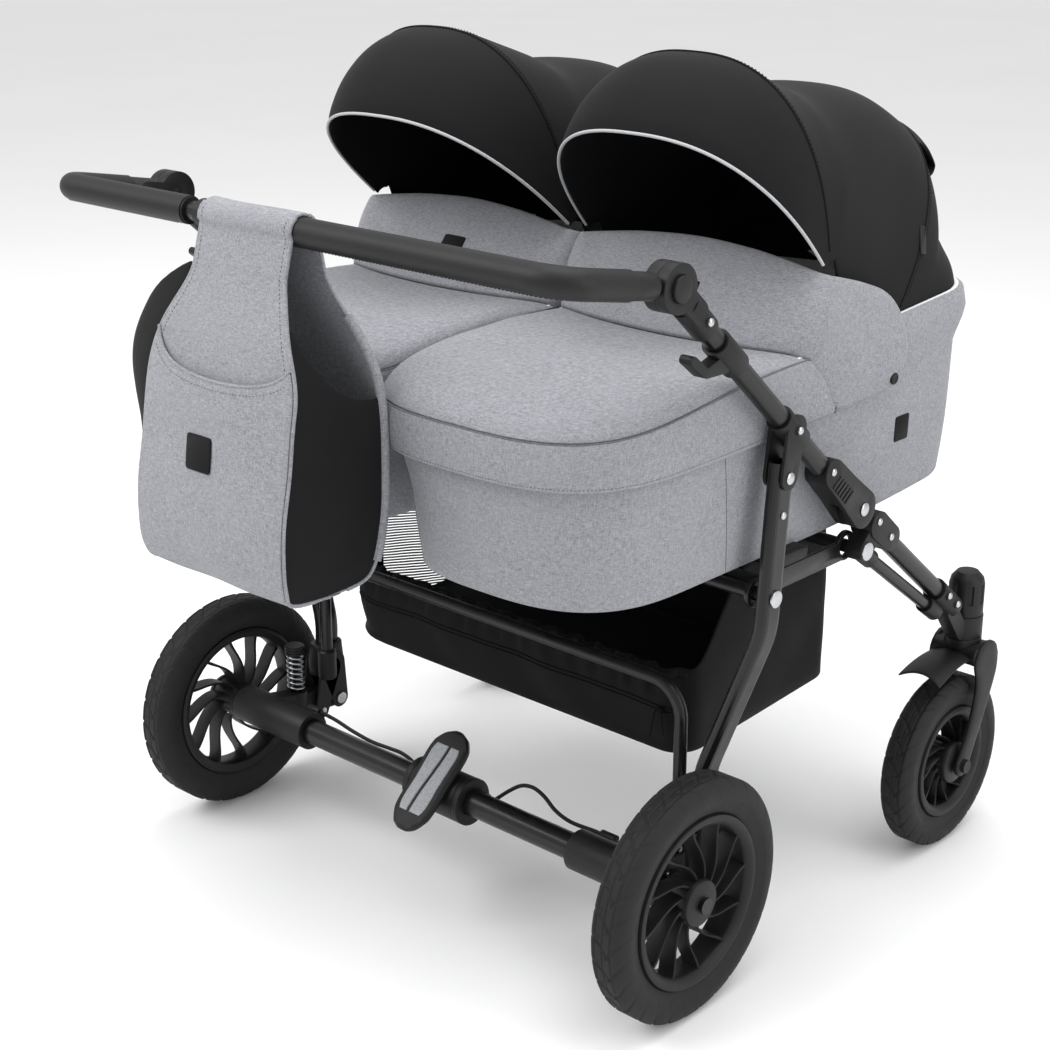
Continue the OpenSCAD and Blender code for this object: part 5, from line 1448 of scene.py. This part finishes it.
def bend_with_hood(obj, side, slot, *nodes):
    """Hides the nodes that a piece of cloth stands for and bakes its placement into its mesh."""
    if nodes:
        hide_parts(*nodes)
    x = COT_X if side == "right" else -COT_X
    at((x, *FOLD_FROM))
    at((x, *FOLD_TO))
    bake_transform(obj)


def vent_rows(bow):
    """Rows of the vent flap on the hood's back, from its seam to the folded lip of its free edge."""
    seam = bow_line(bow, 1.5, VENT_SHARE, 44)
    tip = seam.copy()
    tip[:, 0] *= 0.95
    tip[:, 1] = VENT_TIP_Y - 0.0018 * tip[:, 0] ** 2
    tip[:, 2] -= VENT_DROP
    rows = []
    for t in np.linspace(0, 1, VENT_STEPS):
        rows.append(seam * (1 - t) + tip * t + np.array([0, 0, 7 * math.sin(math.pi * t)]))
    edge = rows[-1]
    return rows + [edge + np.array([0, along, -drop]) for along, drop in VENT_LIP]


class PRAM_OT_hoods(bpy.types.Operator):
    """Sew the two folding hoods over their bows"""

    bl_idname = "pram.hoods"
    bl_label = "Hoods"

    def execute(self, context):
        for side, sign in SIDES:
            x = sign * COT_X
            bows = hood_bows(side)
            cloth = shifted([bow_line(bow) for bow in bows], x)
            shell = thicken(loft(side + "_shell", cloth, "black_fabric"), HOOD_WALL, 1, -1)
            seams = []
            for place, middle in ((ARCH_SEAM, HINGE), (REAR_SEAM, (400, 790))):
                line = shifted(bow_line(bows[place], 0.4), x)
                seams.append(tube(side + "_hood_seam", line[2:-2], 1.4, "thread", 8))
                outward = unit(line - np.array([x, *middle]))[4:-4]
                beside = shifted(bow_line(bows[place + 1], 0.4), x)[4:-4]
                seams.append(stitches(side + "_hood_stitch", beside, outward, 5.0, "thread", 0.3, 0.9))
            flap = shifted(vent_rows(bows[REAR_SEAM]), x)
            vent = thicken(loft(side + "_vent", flap, "black_fabric"), VENT_WALL, 1)
            rear = shifted(bow_line(bows[REAR_SEAM], 1.6), x)
            outer = rear[(rear[:, 0] - x) * sign > 0]
            spot = outer[np.argmin(abs(outer[:, 2] - LOOP_Z))]
            above = outer[np.argmin(abs(outer[:, 2] - LOOP_ABOVE_Z))]
            loop = tag(side + "_hood_tag", spot, (0, sign, -0.25), above - spot, LOOP_SIZE, "black_plastic")
            hood = joined(side + "_hood", [shell, vent, loop] + seams)
            hood.data.shade_smooth()
            bend_with_hood(hood, side, "black_fabric", side + "_hood_canopy", side + "_hood_back")
            front = shifted(bow_line(bows[0], 0.6), x)
            bend_with_hood(tube(side + "_hood_piping", front[1:-1], 1.9, "piping", 10), side, "black_fabric")
        return {"FINISHED"}


# Changing bag

BAG_X = -40.0
BAG_HALF = 122.0
BAG_NECK = 74.0
BAG_WRAP_R = 18.5
BAG_COLUMNS = 44
SLING_WALL, GUSSET_WALL, POCKET_WALL = 4.0, 2.6, 2.4
# Where the neck ends, and the height over which it flares out
NECK_Z, NECK_FLARE = 835.0, 125.0
# Each gusset's top: its height in front, the rise of its rear edge over that, and how sharply it curves
GUSSET_TOPS = {-1: (722, 116, 3), 1: (700, 100, 2.4)}
# The left gusset stands out from the bag, from its open top down
GUSSET_FLARE, GUSSET_LOW, GUSSET_STEPS = 68.0, 491.0, 40
POCKET_TOP, POCKET_LOW, POCKET_STEPS = 722.0, 500.0, 26
BAG_LABEL_ROW, BAG_LABEL_COLUMN, BAG_LABEL_SIZE = 9, 20, (41, 40, 1.6)
BAG_REAR = [(-246, 822), (-266, 762), (-278, 700), (-290, 630), (-299, 560), (-297, 512), (-278, 492)]
BAG_FRONT = [(-192, 492), (-168, 512), (-156, 560), (-152, 630), (-155, 700), (-166, 762), (-186, 822)]


def bag_profile():
    """The sling's side view as a closed line, from the bar down the rear panel and back up the front."""
    wrap = [(BAR_Y + BAG_WRAP_R * math.cos(a), BAR_Z + BAG_WRAP_R * math.sin(a))
            for a in np.radians(np.linspace(-18, 208, 15))]
    line = wrap + BAG_REAR + BAG_FRONT
    closed = curve_through(line + [line[0]], 6)
    return resample(closed[:-1], 150, closed=True)


def bag_half(z):
    """Half of the bag's width at a height: a narrow neck that flares out to the shoulders."""
    flare = ease((NECK_Z - z) / NECK_FLARE) ** 0.8
    base = 1 - 0.06 * ease((520 - z) / 40)
    return (BAG_NECK + (BAG_HALF - BAG_NECK) * flare) * base


def bag_sheet():
    """Rows across the sling, once round from the bar and back to it."""
    rows = []
    for y, z in bag_profile():
        half = bag_half(z)
        row = []
        for s in np.linspace(-1, 1, BAG_COLUMNS):
            place = np.array([BAG_X + half * s, y, z])
            hollow = (1 - s * s) * ease((800 - z) / 120) * ease((z - 490) / 60)
            swell = 9 * hollow * (-1 if y < (BAR_Y - 22) else 0.5)
            place[1] += swell + cushion(place, 1.6, 42, 0.4)
            row.append(place)
        rows.append(row)
    rows.append(rows[0])
    return np.array(rows)


def bag_edges(sheet, column):
    """The rear and the front edge of the sling on one side, each from the bottom up."""
    line = sheet[:-1, column]
    line = line[np.argsort(line[:, 2], kind="stable")]
    return line[line[:, 1] < BAR_Y], line[line[:, 1] >= BAR_Y]


def at_height(line, z):
    """The point of a rising line at a height."""
    return np.array([np.interp(z, line[:, 2], line[:, i]) for i in range(3)])


def gusset(sheet, column, outward):
    """A black side panel between the sling's edges, cut down in a curve at its top."""
    rear, front = bag_edges(sheet, column)
    low_end, rise, sharp = GUSSET_TOPS[outward]
    rows = []
    for q in np.linspace(0, 1, 15):
        top = low_end + rise * (1 - q) ** sharp
        row = []
        for z in np.linspace(GUSSET_LOW, top, GUSSET_STEPS):
            point = at_height(rear, z) * (1 - q) + at_height(front, z) * q
            bow = math.sin(math.pi * q) * (5.0 * ease((z - 500) / 80) - 8.0 * ease((z - 690) / 100))
            if outward < 0:
                bow += GUSSET_FLARE * math.sin(math.pi * q ** 0.6) * ease((z - 560) / 170)
            point[0] += outward * (bow + cushion(point, 1.2, 30, 1.3) * math.sin(math.pi * q) - 1.0)
            row.append(point)
        rows.append(row)
    return np.array(rows)


def pocket_rows(sheet):
    """A patch pocket over the rear panel's lower part, with a dipping top edge."""
    middle = sheet[:-1, BAG_COLUMNS // 2]
    panel = sheet[:-1][(middle[:, 1] < BAR_Y) & (middle[:, 2] < 790)]
    rows = []
    for t in np.linspace(0, 1, POCKET_STEPS):
        row = []
        for c, s in enumerate(np.linspace(-1, 1, BAG_COLUMNS)):
            top = POCKET_TOP + 24 * s ** 4 + (16 * s * s if s < 0 else 4 * s)
            line = panel[:, c]
            place = at_height(line[np.argsort(line[:, 2])], top + (POCKET_LOW - top) * t)
            place[1] -= 3.2 + 6.0 * (1 - s * s) * (1 - t) ** 3
            row.append(place)
        rows.append(row)
    return np.array(rows)


class PRAM_OT_bag(bpy.types.Operator):
    """Hang the changing bag on the push bar"""

    bl_idname = "pram.bag"
    bl_label = "Changing bag"

    def execute(self, context):
        sheet = bag_sheet()
        pieces = [thicken(loft("sling", sheet, "grey_fabric"), SLING_WALL, 1)]
        for column, outward in ((0, -1), (-1, 1)):
            panel = loft("gusset", gusset(sheet, column, outward), "black_fabric")
            pieces.append(thicken(panel, GUSSET_WALL, 1))
            rear, front = bag_edges(sheet, column)
            pieces.append(tube("rear_binding", rear[1:-1], 2.3, "grey_fabric", 10))
            side = front[(front[:, 2] > 512) & (front[:, 2] < 790)]
            pieces.append(tube("front_roll", side, 5.5, "grey_fabric", 14))
            pieces.append(tube("front_binding", front[1:-1], 2.3, "grey_fabric", 10))
        pocket = pocket_rows(sheet)
        pieces.append(thicken(loft("pocket", pocket, "grey_fabric"), POCKET_WALL, 1))
        pieces.append(tube("pocket_hem", pocket[0], 1.9, "grey_fabric", 10))
        pieces.append(stitches("pocket_stitch", pocket[1][2:-2], (0, -1, 0.1), 4.6, "grey_dark", 1.4, 0.8))
        neck = [row for row in sheet[:-1] if row[0][1] < BAR_Y and row[0][2] > 700]
        for column in (2, -3):
            line = np.array(sorted([row[column] for row in neck], key=lambda p: p[2]))
            pieces.append(stitches("neck_stitch", line, (0, -1, 0.25), 4.6, "grey_dark", 2.2, 0.8))
        column = pocket[:, BAG_LABEL_COLUMN]
        place = column[BAG_LABEL_ROW] + np.array([0, -1.6, 0])
        rise = column[BAG_LABEL_ROW - 3] - column[BAG_LABEL_ROW + 3]
        pieces.append(tag("bag_label", place, (1, 0, 0), rise, BAG_LABEL_SIZE))
        wear(joined("bag", pieces), "bag", "grey_fabric", "changing_bag")
        return {"FINISHED"}


# Basket

BASKET_HALF, BASKET_REAR, BASKET_FRONT = 297.0, 116.0, 418.0
BASKET_FLOOR, BASKET_HEM, BASKET_HANG = 239.0, 345.0, 458.0
BASKET_RISE = 0.055
BASKET_SEAM = 298.0
BASKET_WALL = 2.2
RIGHT_CORNER, LEFT_CORNER = 34.0, 76.0
# The net takes up the left wall between its corners, from this far inside it and this far forward
NET_INSET, NET_REAR = 20.0, 190.0
# First of the basket's rows that stands upright
NET_ROW = 3
STRING_D = 2.4
# How far each end of the drawstring goes aside and down from the knot
STRING_ENDS = {"long": (-11.0, 34.0), "short": (9.0, 28.0)}
KNOT = [(0.5, -4), (4, -3), (5, 0), (4, 3), (0.5, 4)]


def basket_outline(off):
    """Plan outline of the basket."""
    half = BASKET_HALF + off
    rear, front = BASKET_REAR - off, BASKET_FRONT + off
    points = []
    for across, along, corner, first in ((1, 0, RIGHT_CORNER, 270), (1, 1, RIGHT_CORNER, 0),
                                         (-1, 1, LEFT_CORNER, 90), (-1, 0, LEFT_CORNER, 180)):
        x = across * (half - corner)
        y = front - corner if along else rear + corner
        points += [(x + corner * math.cos(a), y + corner * math.sin(a))
                   for a in np.radians(np.linspace(first, first + 90, 10))]
    return resample(points, 260, closed=True)


def basket_floor(y):
    """Height of the basket's floor along the pram."""
    return BASKET_FLOOR + BASKET_RISE * (y - BASKET_REAR)


def basket_top(y):
    """Height of the basket's edge: low at the rear hem, and up under the cots in front."""
    return BASKET_HEM + (BASKET_HANG - BASKET_HEM) * ease((y - BASKET_REAR - 10) / 110)


def basket_rows():
    """Rows of the basket's cloth, from its floor up the walls, gathered at the rear."""
    wall = basket_outline(0)
    floor = basket_floor(wall[:, 1])
    rows = [lifted(basket_outline(-120), floor), lifted(basket_outline(-34), floor),
            lifted(basket_outline(-4), floor + 1.0), lifted(basket_outline(0), floor + 4)]
    out = basket_outline(1) - wall
    high = basket_top(wall[:, 1])
    for t in np.linspace(0.1, 1, 26):
        row = lifted(wall, floor + (high - floor) * t)
        above = ease((row[:, 2] - BASKET_SEAM) / 22) * (row[:, 1] < BASKET_REAR + 70)
        slack = 4.0 * math.sin(math.pi * t) + cushion(row, 1.5, 34, 0.7) * math.sin(math.pi * t)
        pleat = np.sin(row[:, 0] / 5.2 + 0.8 * np.sin(row[:, 0] / 31)) + 0.5 * np.sin(row[:, 0] / 2.9 + 1.0)
        crease = 1.4 * np.sin(row[:, 0] / 26 + row[:, 2] / 17) * (1 - t)
        row[:, :2] += out * (np.minimum(slack, 6) - 2 + above * (2.6 * pleat - 2.0) + crease)[:, None]
        rows.append(row)
    return rows


def rear_line(rows, height, reach):
    """A line across the basket's rear panel at one height, from left to right."""
    line = []
    for column in range(len(rows[0])):
        stack = rows[NET_ROW:, column]
        if stack[0, 1] > BASKET_REAR + 40 or abs(stack[0, 0]) > reach:
            continue
        line.append(at_height(stack, height))
    return np.array(sorted(line, key=lambda p: p[0]))


class PRAM_OT_basket(bpy.types.Operator):
    """Hang the gathered basket under the cots"""

    bl_idname = "pram.basket"
    bl_label = "Basket"

    def execute(self, context):
        rows = np.array(basket_rows())
        body = BODY_OF["basket"]
        wall = rows[NET_ROW]
        netted = np.flatnonzero((wall[:, 0] < NET_INSET - BASKET_HALF) & (wall[:, 1] > NET_REAR))
        first, last = netted[0], netted[-1]
        round_the_rest = np.r_[last:len(wall), 0:first + 1]
        net = rows[NET_ROW:, first:last + 1]
        base = loft("basket_base", rows[:NET_ROW + 1], "black_fabric", around=True, caps=(True, False))
        walls = loft("basket_walls", rows[NET_ROW:, round_the_rest], "black_fabric")
        pieces = [thicken(base, BASKET_WALL, 0), thicken(walls, BASKET_WALL, 0)]
        for edge in (net[-1], net[:, 0], net[:, -1]):
            pieces.append(tube("net_binding", edge, 2.4, "black_fabric", 10))
        reach = BASKET_HALF - 6
        hem = resample(rear_line(rows, BASKET_HEM - 3, reach), 220)
        hem[:, 1] += 1.6 * np.sin(hem[:, 0] / 4.6)
        hem[:, 2] += 1.8 * np.sin(hem[:, 0] / 6.1)
        pieces.append(tube("basket_casing", hem, 5.0, "black_fabric", 14))
        for beside in (2.6, -2.6):
            seam = rear_line(rows, BASKET_SEAM + beside, reach) + np.array([0, -1.2, 0])
            pieces.append(tube("basket_seam", seam, 1.5, "thread", 8))
        knot = rear_line(rows, BASKET_SEAM, reach)[-6] + np.array([0, -5, 0])
        spot = (tuple(knot), (0, -1, 0), (0, 0, 1), 1.0)
        pieces.append(spread_shapes("string_knot", round_shape("knot", KNOT, 20), [spot], "thread"))
        wear(joined("shopping_basket", pieces), body, "black_fabric", "basket")
        for name, (aside, drop) in STRING_ENDS.items():
            end = [knot, knot + np.array([aside * 0.4, -3.5, 1.0]), knot + np.array([aside, -4.0, -drop])]
            line = curve_through(end, 8)
            string = tube(name + "_drawstring", line, STRING_D / 2, "thread", 8)
            wear(string, body, "black_fabric")
            path = [at(p) for p in line]
        panel = loft("basket_net", net, "net")
        wear(panel, body, "black_fabric")
        return {"FINISHED"}


# Foot brake, springs and small hardware

PEDAL_X = 15.0
PEDAL_TILT = 42.0
PEDAL_HUB, PEDAL_HUB_R = (-22.4, 52.4), 29.8
PEDAL_MIDDLE, PEDAL_REACH = -3.0, 70.0
# Places along the pedal with half of its width there
PEDAL_PLAN = [(-75, 17), (-68, 27), (-50, 31), (-10, 29), (20, 30), (47, 33), (61, 29), (68, 17)]
# Heights of the pad and of its grip strips over the axle, with how much their outline grows there
PAD_SECTION = [(20.0, -17.0), (27.0, -8.0), (30.5, 0.0), (35.0, 0.6), (37.6, -1.6), (38.4, -6.0)]
STRIP_SECTION = [(37.5, 0.0), (39.4, 0.0), (40.2, -0.9)]
STRIP_FROM, STRIP_TO, STRIP_GAP, STRIP_INSET = -50.0, 44.0, 2.4, 9.5


def on_pedal(x, along, height):
    """A place on the tilted pedal."""
    tilt = math.radians(PEDAL_TILT)
    return (PEDAL_X + x, along * math.cos(tilt) - height * math.sin(tilt),
            REAR_AXLE_Z + along * math.sin(tilt) + height * math.cos(tilt))


def pedal_half(along):
    """Half of the pedal's width at a place along it."""
    return float(np.interp(along, *zip(*PEDAL_PLAN)))


def strip_rows(m):
    """Rows of the grip strip on one side of the pedal's wavy middle gap."""
    rows = []
    for height, grow in STRIP_SECTION:
        ring = []
        for along in np.linspace(STRIP_FROM, STRIP_TO, 30):
            inner = m * (STRIP_GAP - grow) + 3.0 * math.sin(along / 26)
            ring.append((inner, along))
        for along in np.linspace(STRIP_TO, STRIP_FROM, 30):
            outer = pedal_half(along) - STRIP_INSET - 5.0 * abs((along - PEDAL_MIDDLE) / 47) ** 6
            ring.append((m * (outer + grow), along))
        rows.append([on_pedal(x, along + (along - PEDAL_MIDDLE) * grow / 49, height) for x, along in ring])
    return rows


class PRAM_OT_brake(bpy.types.Operator):
    """Make the foot brake's pedal with its two pebbled strips"""

    bl_idname = "pram.brake"
    bl_label = "Foot brake"

    def execute(self, context):
        rows = []
        for height, grow in PAD_SECTION:
            ring = []
            for a in round_angles(64):
                along = PEDAL_MIDDLE + (PEDAL_REACH + grow) * soft_power(math.sin(a))
                ring.append(on_pedal((pedal_half(along) + grow) * soft_power(math.cos(a)), along, height))
            rows.append(ring)
        pieces = [loft("pedal_pad", rows, "black_plastic", around=True, caps=(True, True))]
        hub = [(x, 0.0, REAR_AXLE_Z) for x in PEDAL_HUB]
        pieces.append(tube("pedal_hub", hub, PEDAL_HUB_R, "black_plastic", 40))
        for m in (-1, 1):
            pieces.append(loft("pedal_strip", strip_rows(m), "pad", around=True, caps=(True, True)))
        pad = joined("pedal_pads", pieces)
        sharpen(pad, MOULDED_EDGE)
        wear(pad, "pedal", "black_plastic", "brake_pedal")
        return {"FINISHED"}


SPRING_X, SPRING_Y = 330.0, 56.0
SPRING_LOW, SPRING_HIGH = 157.0, 212.0
SPRING_D, SPRING_WIRE, SPRING_TURNS, SPRING_STEPS = 24.0, 3.0, 7, 40
SWING_PIVOT, ROD_LUG = (122.0, 129.0), (88.0, 120.0)
BRACKET_GAP, BRACKET_WALL = 12.5, 5.0
LEG_FOOT_Y, HOOP_FOOT = 112.0, (308.0, 95.0)
# Heights of the leg's socket with its half sizes across and along the pram
LEG_SOCKET = [(168, 15.5, 24), (170, 17, 25.5), (186, 17, 25.5), (204, 15.5, 24), (211, 15, 23.5),
              (213, 13.5, 22)]
# Outlines of the fork plates in the side view, and of the plate under the spring's rod from above
FORK_PLATES = [[(110, 182, 22), (*SWING_PIVOT, 14)], [(106, 178, 18), (*ROD_LUG, 12)]]
ROD_PLATE = [(SPRING_X - 8, 54, 9), (SPRING_X + 8, 54, 9), (SPRING_X - 6, 84, 6), (SPRING_X + 6, 84, 6)]
# Heights between which the hoop's socket, its web and the rod's plate stand
HOOP_SOCKET_Z, WEB_Z, ROD_PLATE_Z = (170, 212), (174, 206), (108, 114)
LUG_RIVET = [(5.4, 0), (5.4, 1.4), (4.0, 2.6), (0.4, 3.0)]


def hull_outline(discs):
    """The outline of a belt pulled round discs of two places and a radius."""
    count = 72
    points = []
    for a in round_angles(count):
        way = np.array([math.cos(a), math.sin(a)])
        disc = max(discs, key=lambda d: way[0] * d[0] + way[1] * d[1] + d[2])
        points.append(np.array(disc[:2]) + way * disc[2])
    return resample(points, count, closed=True)


def hull_block(name, discs, low, high, place, edge=1.2):
    """A block with rounded edges whose outline is a belt round discs."""
    rows = []
    for height, grow in ((low, -edge), (low + edge, 0.0), (high - edge, 0.0), (high, -edge)):
        outline = hull_outline([(u, v, r + grow) for u, v, r in discs])
        rows.append([place(u, v, height) for u, v in outline])
    return loft(name, rows, "black_plastic", around=True, caps=(True, True))


def bracket_pieces(sign):
    """The sockets for leg and hoop on one side, with the fork plates that hold the swing arm."""
    def across(y, z, x):
        return sign * x, y, z

    def upright(x, y, z):
        return sign * x, y, z

    pieces = []
    for x in (SPRING_X - BRACKET_GAP - BRACKET_WALL, SPRING_X + BRACKET_GAP):
        for discs in FORK_PLATES:
            pieces.append(hull_block("fork_plate", discs, x, x + BRACKET_WALL, across))
    pieces.append(hull_block("hoop_socket", [(*HOOP_FOOT, 12.5)], *HOOP_SOCKET_Z, upright, 2.0))
    web = [(*HOOP_FOOT, 9), (SPRING_X, LEG_FOOT_Y - 2, 10)]
    pieces.append(hull_block("socket_web", web, *WEB_Z, upright, 2.0))
    pieces.append(hull_block("rod_plate", ROD_PLATE, *ROD_PLATE_Z, upright))
    rows = []
    for z, half_x, half_y in LEG_SOCKET:
        rows.append([upright(SPRING_X + half_x * soft_power(math.cos(a)),
                             LEG_FOOT_Y + half_y * soft_power(math.sin(a)), z) for a in round_angles(48)])
    pieces.append(loft("leg_socket", rows, "black_plastic", around=True, caps=(True, True)))
    rivet = round_shape("lug_rivet", LUG_RIVET, 24)
    spot = (sign * (SPRING_X - BRACKET_GAP - BRACKET_WALL), *ROD_LUG)
    pieces.append(spread_shapes("lug_rivets", rivet, [(spot, (-sign, 0, 0), (0, 1, 0), 1.0)], "steel"))
    return pieces


class PRAM_OT_springs(bpy.types.Operator):
    """Make the suspension's brackets and wind its two springs"""

    bl_idname = "pram.springs"
    bl_label = "Suspension"

    def execute(self, context):
        pieces = [piece for _, sign in SIDES for piece in bracket_pieces(sign)]
        brackets = joined("suspension_sockets", pieces)
        sharpen(brackets, MOULDED_EDGE)
        node = "suspension_brackets"
        wear(brackets, BODY_OF[node], SLOT_OF[node], node)
        mid = (SPRING_D - SPRING_WIRE) / 2
        rise = SPRING_HIGH - SPRING_LOW - SPRING_WIRE
        for side, sign in SIDES:
            coil = []
            for t in np.linspace(0, 1, SPRING_TURNS * SPRING_STEPS + 1):
                a = 2 * math.pi * SPRING_TURNS * t
                coil.append((sign * (SPRING_X + mid * math.cos(a)), SPRING_Y + mid * math.sin(a),
                             SPRING_LOW + SPRING_WIRE / 2 + rise * t))
            spring = tube(side + "_spring", coil, SPRING_WIRE / 2, "steel", 12)
            wear(spring, BODY_OF["suspension_springs"], "steel", "suspension_springs")
            at((sign * SPRING_X, SPRING_Y, SPRING_HIGH))
            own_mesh(spring)
        return {"FINISHED"}


# Properties, panel and the build itself


class PramSizes(bpy.types.PropertyGroup):
    """Sizes that can be changed without touching the solids"""

    grip_diameter: bpy.props.FloatProperty(
        name="Grip diameter", description="Outer diameter of the push bar's leatherette grips",
        default=0.032, min=0.026, max=0.036, unit="LENGTH")


def colour_property(name, description, value):
    """A colour that a user can change."""
    return bpy.props.FloatVectorProperty(name=name, description=description, subtype="COLOR", size=4,
                                         default=(*value, 1.0), min=0.0, max=1.0)


class PramColours(bpy.types.PropertyGroup):
    """Colours of the pram's materials"""

    paint: colour_property("Paint", "Coating of the chassis tubes", (0.0055, 0.0055, 0.006))
    plastic: colour_property("Plastic", "Moulded joints, rims and housings", (0.0065, 0.0065, 0.007))
    rubber: colour_property("Rubber", "Tyres", (0.0095, 0.0095, 0.0102))
    leather: colour_property("Leatherette", "Push bar grips", (0.0065, 0.0065, 0.007))
    grey_cloth: colour_property("Grey cloth", "Heathered cloth of cots, aprons and bag",
                                (0.262, 0.268, 0.288))
    black_cloth: colour_property("Black cloth", "Hoods, gussets and basket", (0.0055, 0.0055, 0.0063))


BUILD_STEPS = ("stage", "cables", "chassis", "wheels", "forks", "grips", "cots", "aprons", "hoods", "bag",
               "basket", "brake", "springs")


class PRAM_PT_panel(bpy.types.Panel):
    """The pram's sizes, colours and build steps"""

    bl_label = "Twin Pram"
    bl_idname = "PRAM_PT_panel"
    bl_space_type = "VIEW_3D"
    bl_region_type = "UI"
    bl_category = "Twin Pram"

    def draw(self, context):
        layout = self.layout
        for group in (context.scene.pram_sizes, context.scene.pram_colours):
            for name in group.__annotations__:
                layout.prop(group, name)
        for step in BUILD_STEPS:
            layout.operator("pram." + step)


CLASSES = (PramSizes, PramColours, PRAM_OT_stage, PRAM_OT_cables, PRAM_OT_chassis, PRAM_OT_wheels,
           PRAM_OT_forks, PRAM_OT_grips, PRAM_OT_cots, PRAM_OT_aprons, PRAM_OT_hoods, PRAM_OT_bag,
           PRAM_OT_basket, PRAM_OT_brake, PRAM_OT_springs, PRAM_PT_panel)


def register():
    for cls in CLASSES:
        bpy.utils.register_class(cls)
    bpy.types.Scene.pram_sizes = bpy.props.PointerProperty(type=PramSizes)
    bpy.types.Scene.pram_colours = bpy.props.PointerProperty(type=PramColours)


def unregister():
    del bpy.types.Scene.pram_colours
    del bpy.types.Scene.pram_sizes
    for cls in reversed(CLASSES):
        bpy.utils.unregister_class(cls)


def main():
    """Builds the pram step by step."""
    register()
    make_finishes()
    for step in BUILD_STEPS:
        getattr(bpy.ops.pram, step)()


if __name__ == "__main__":
    main()
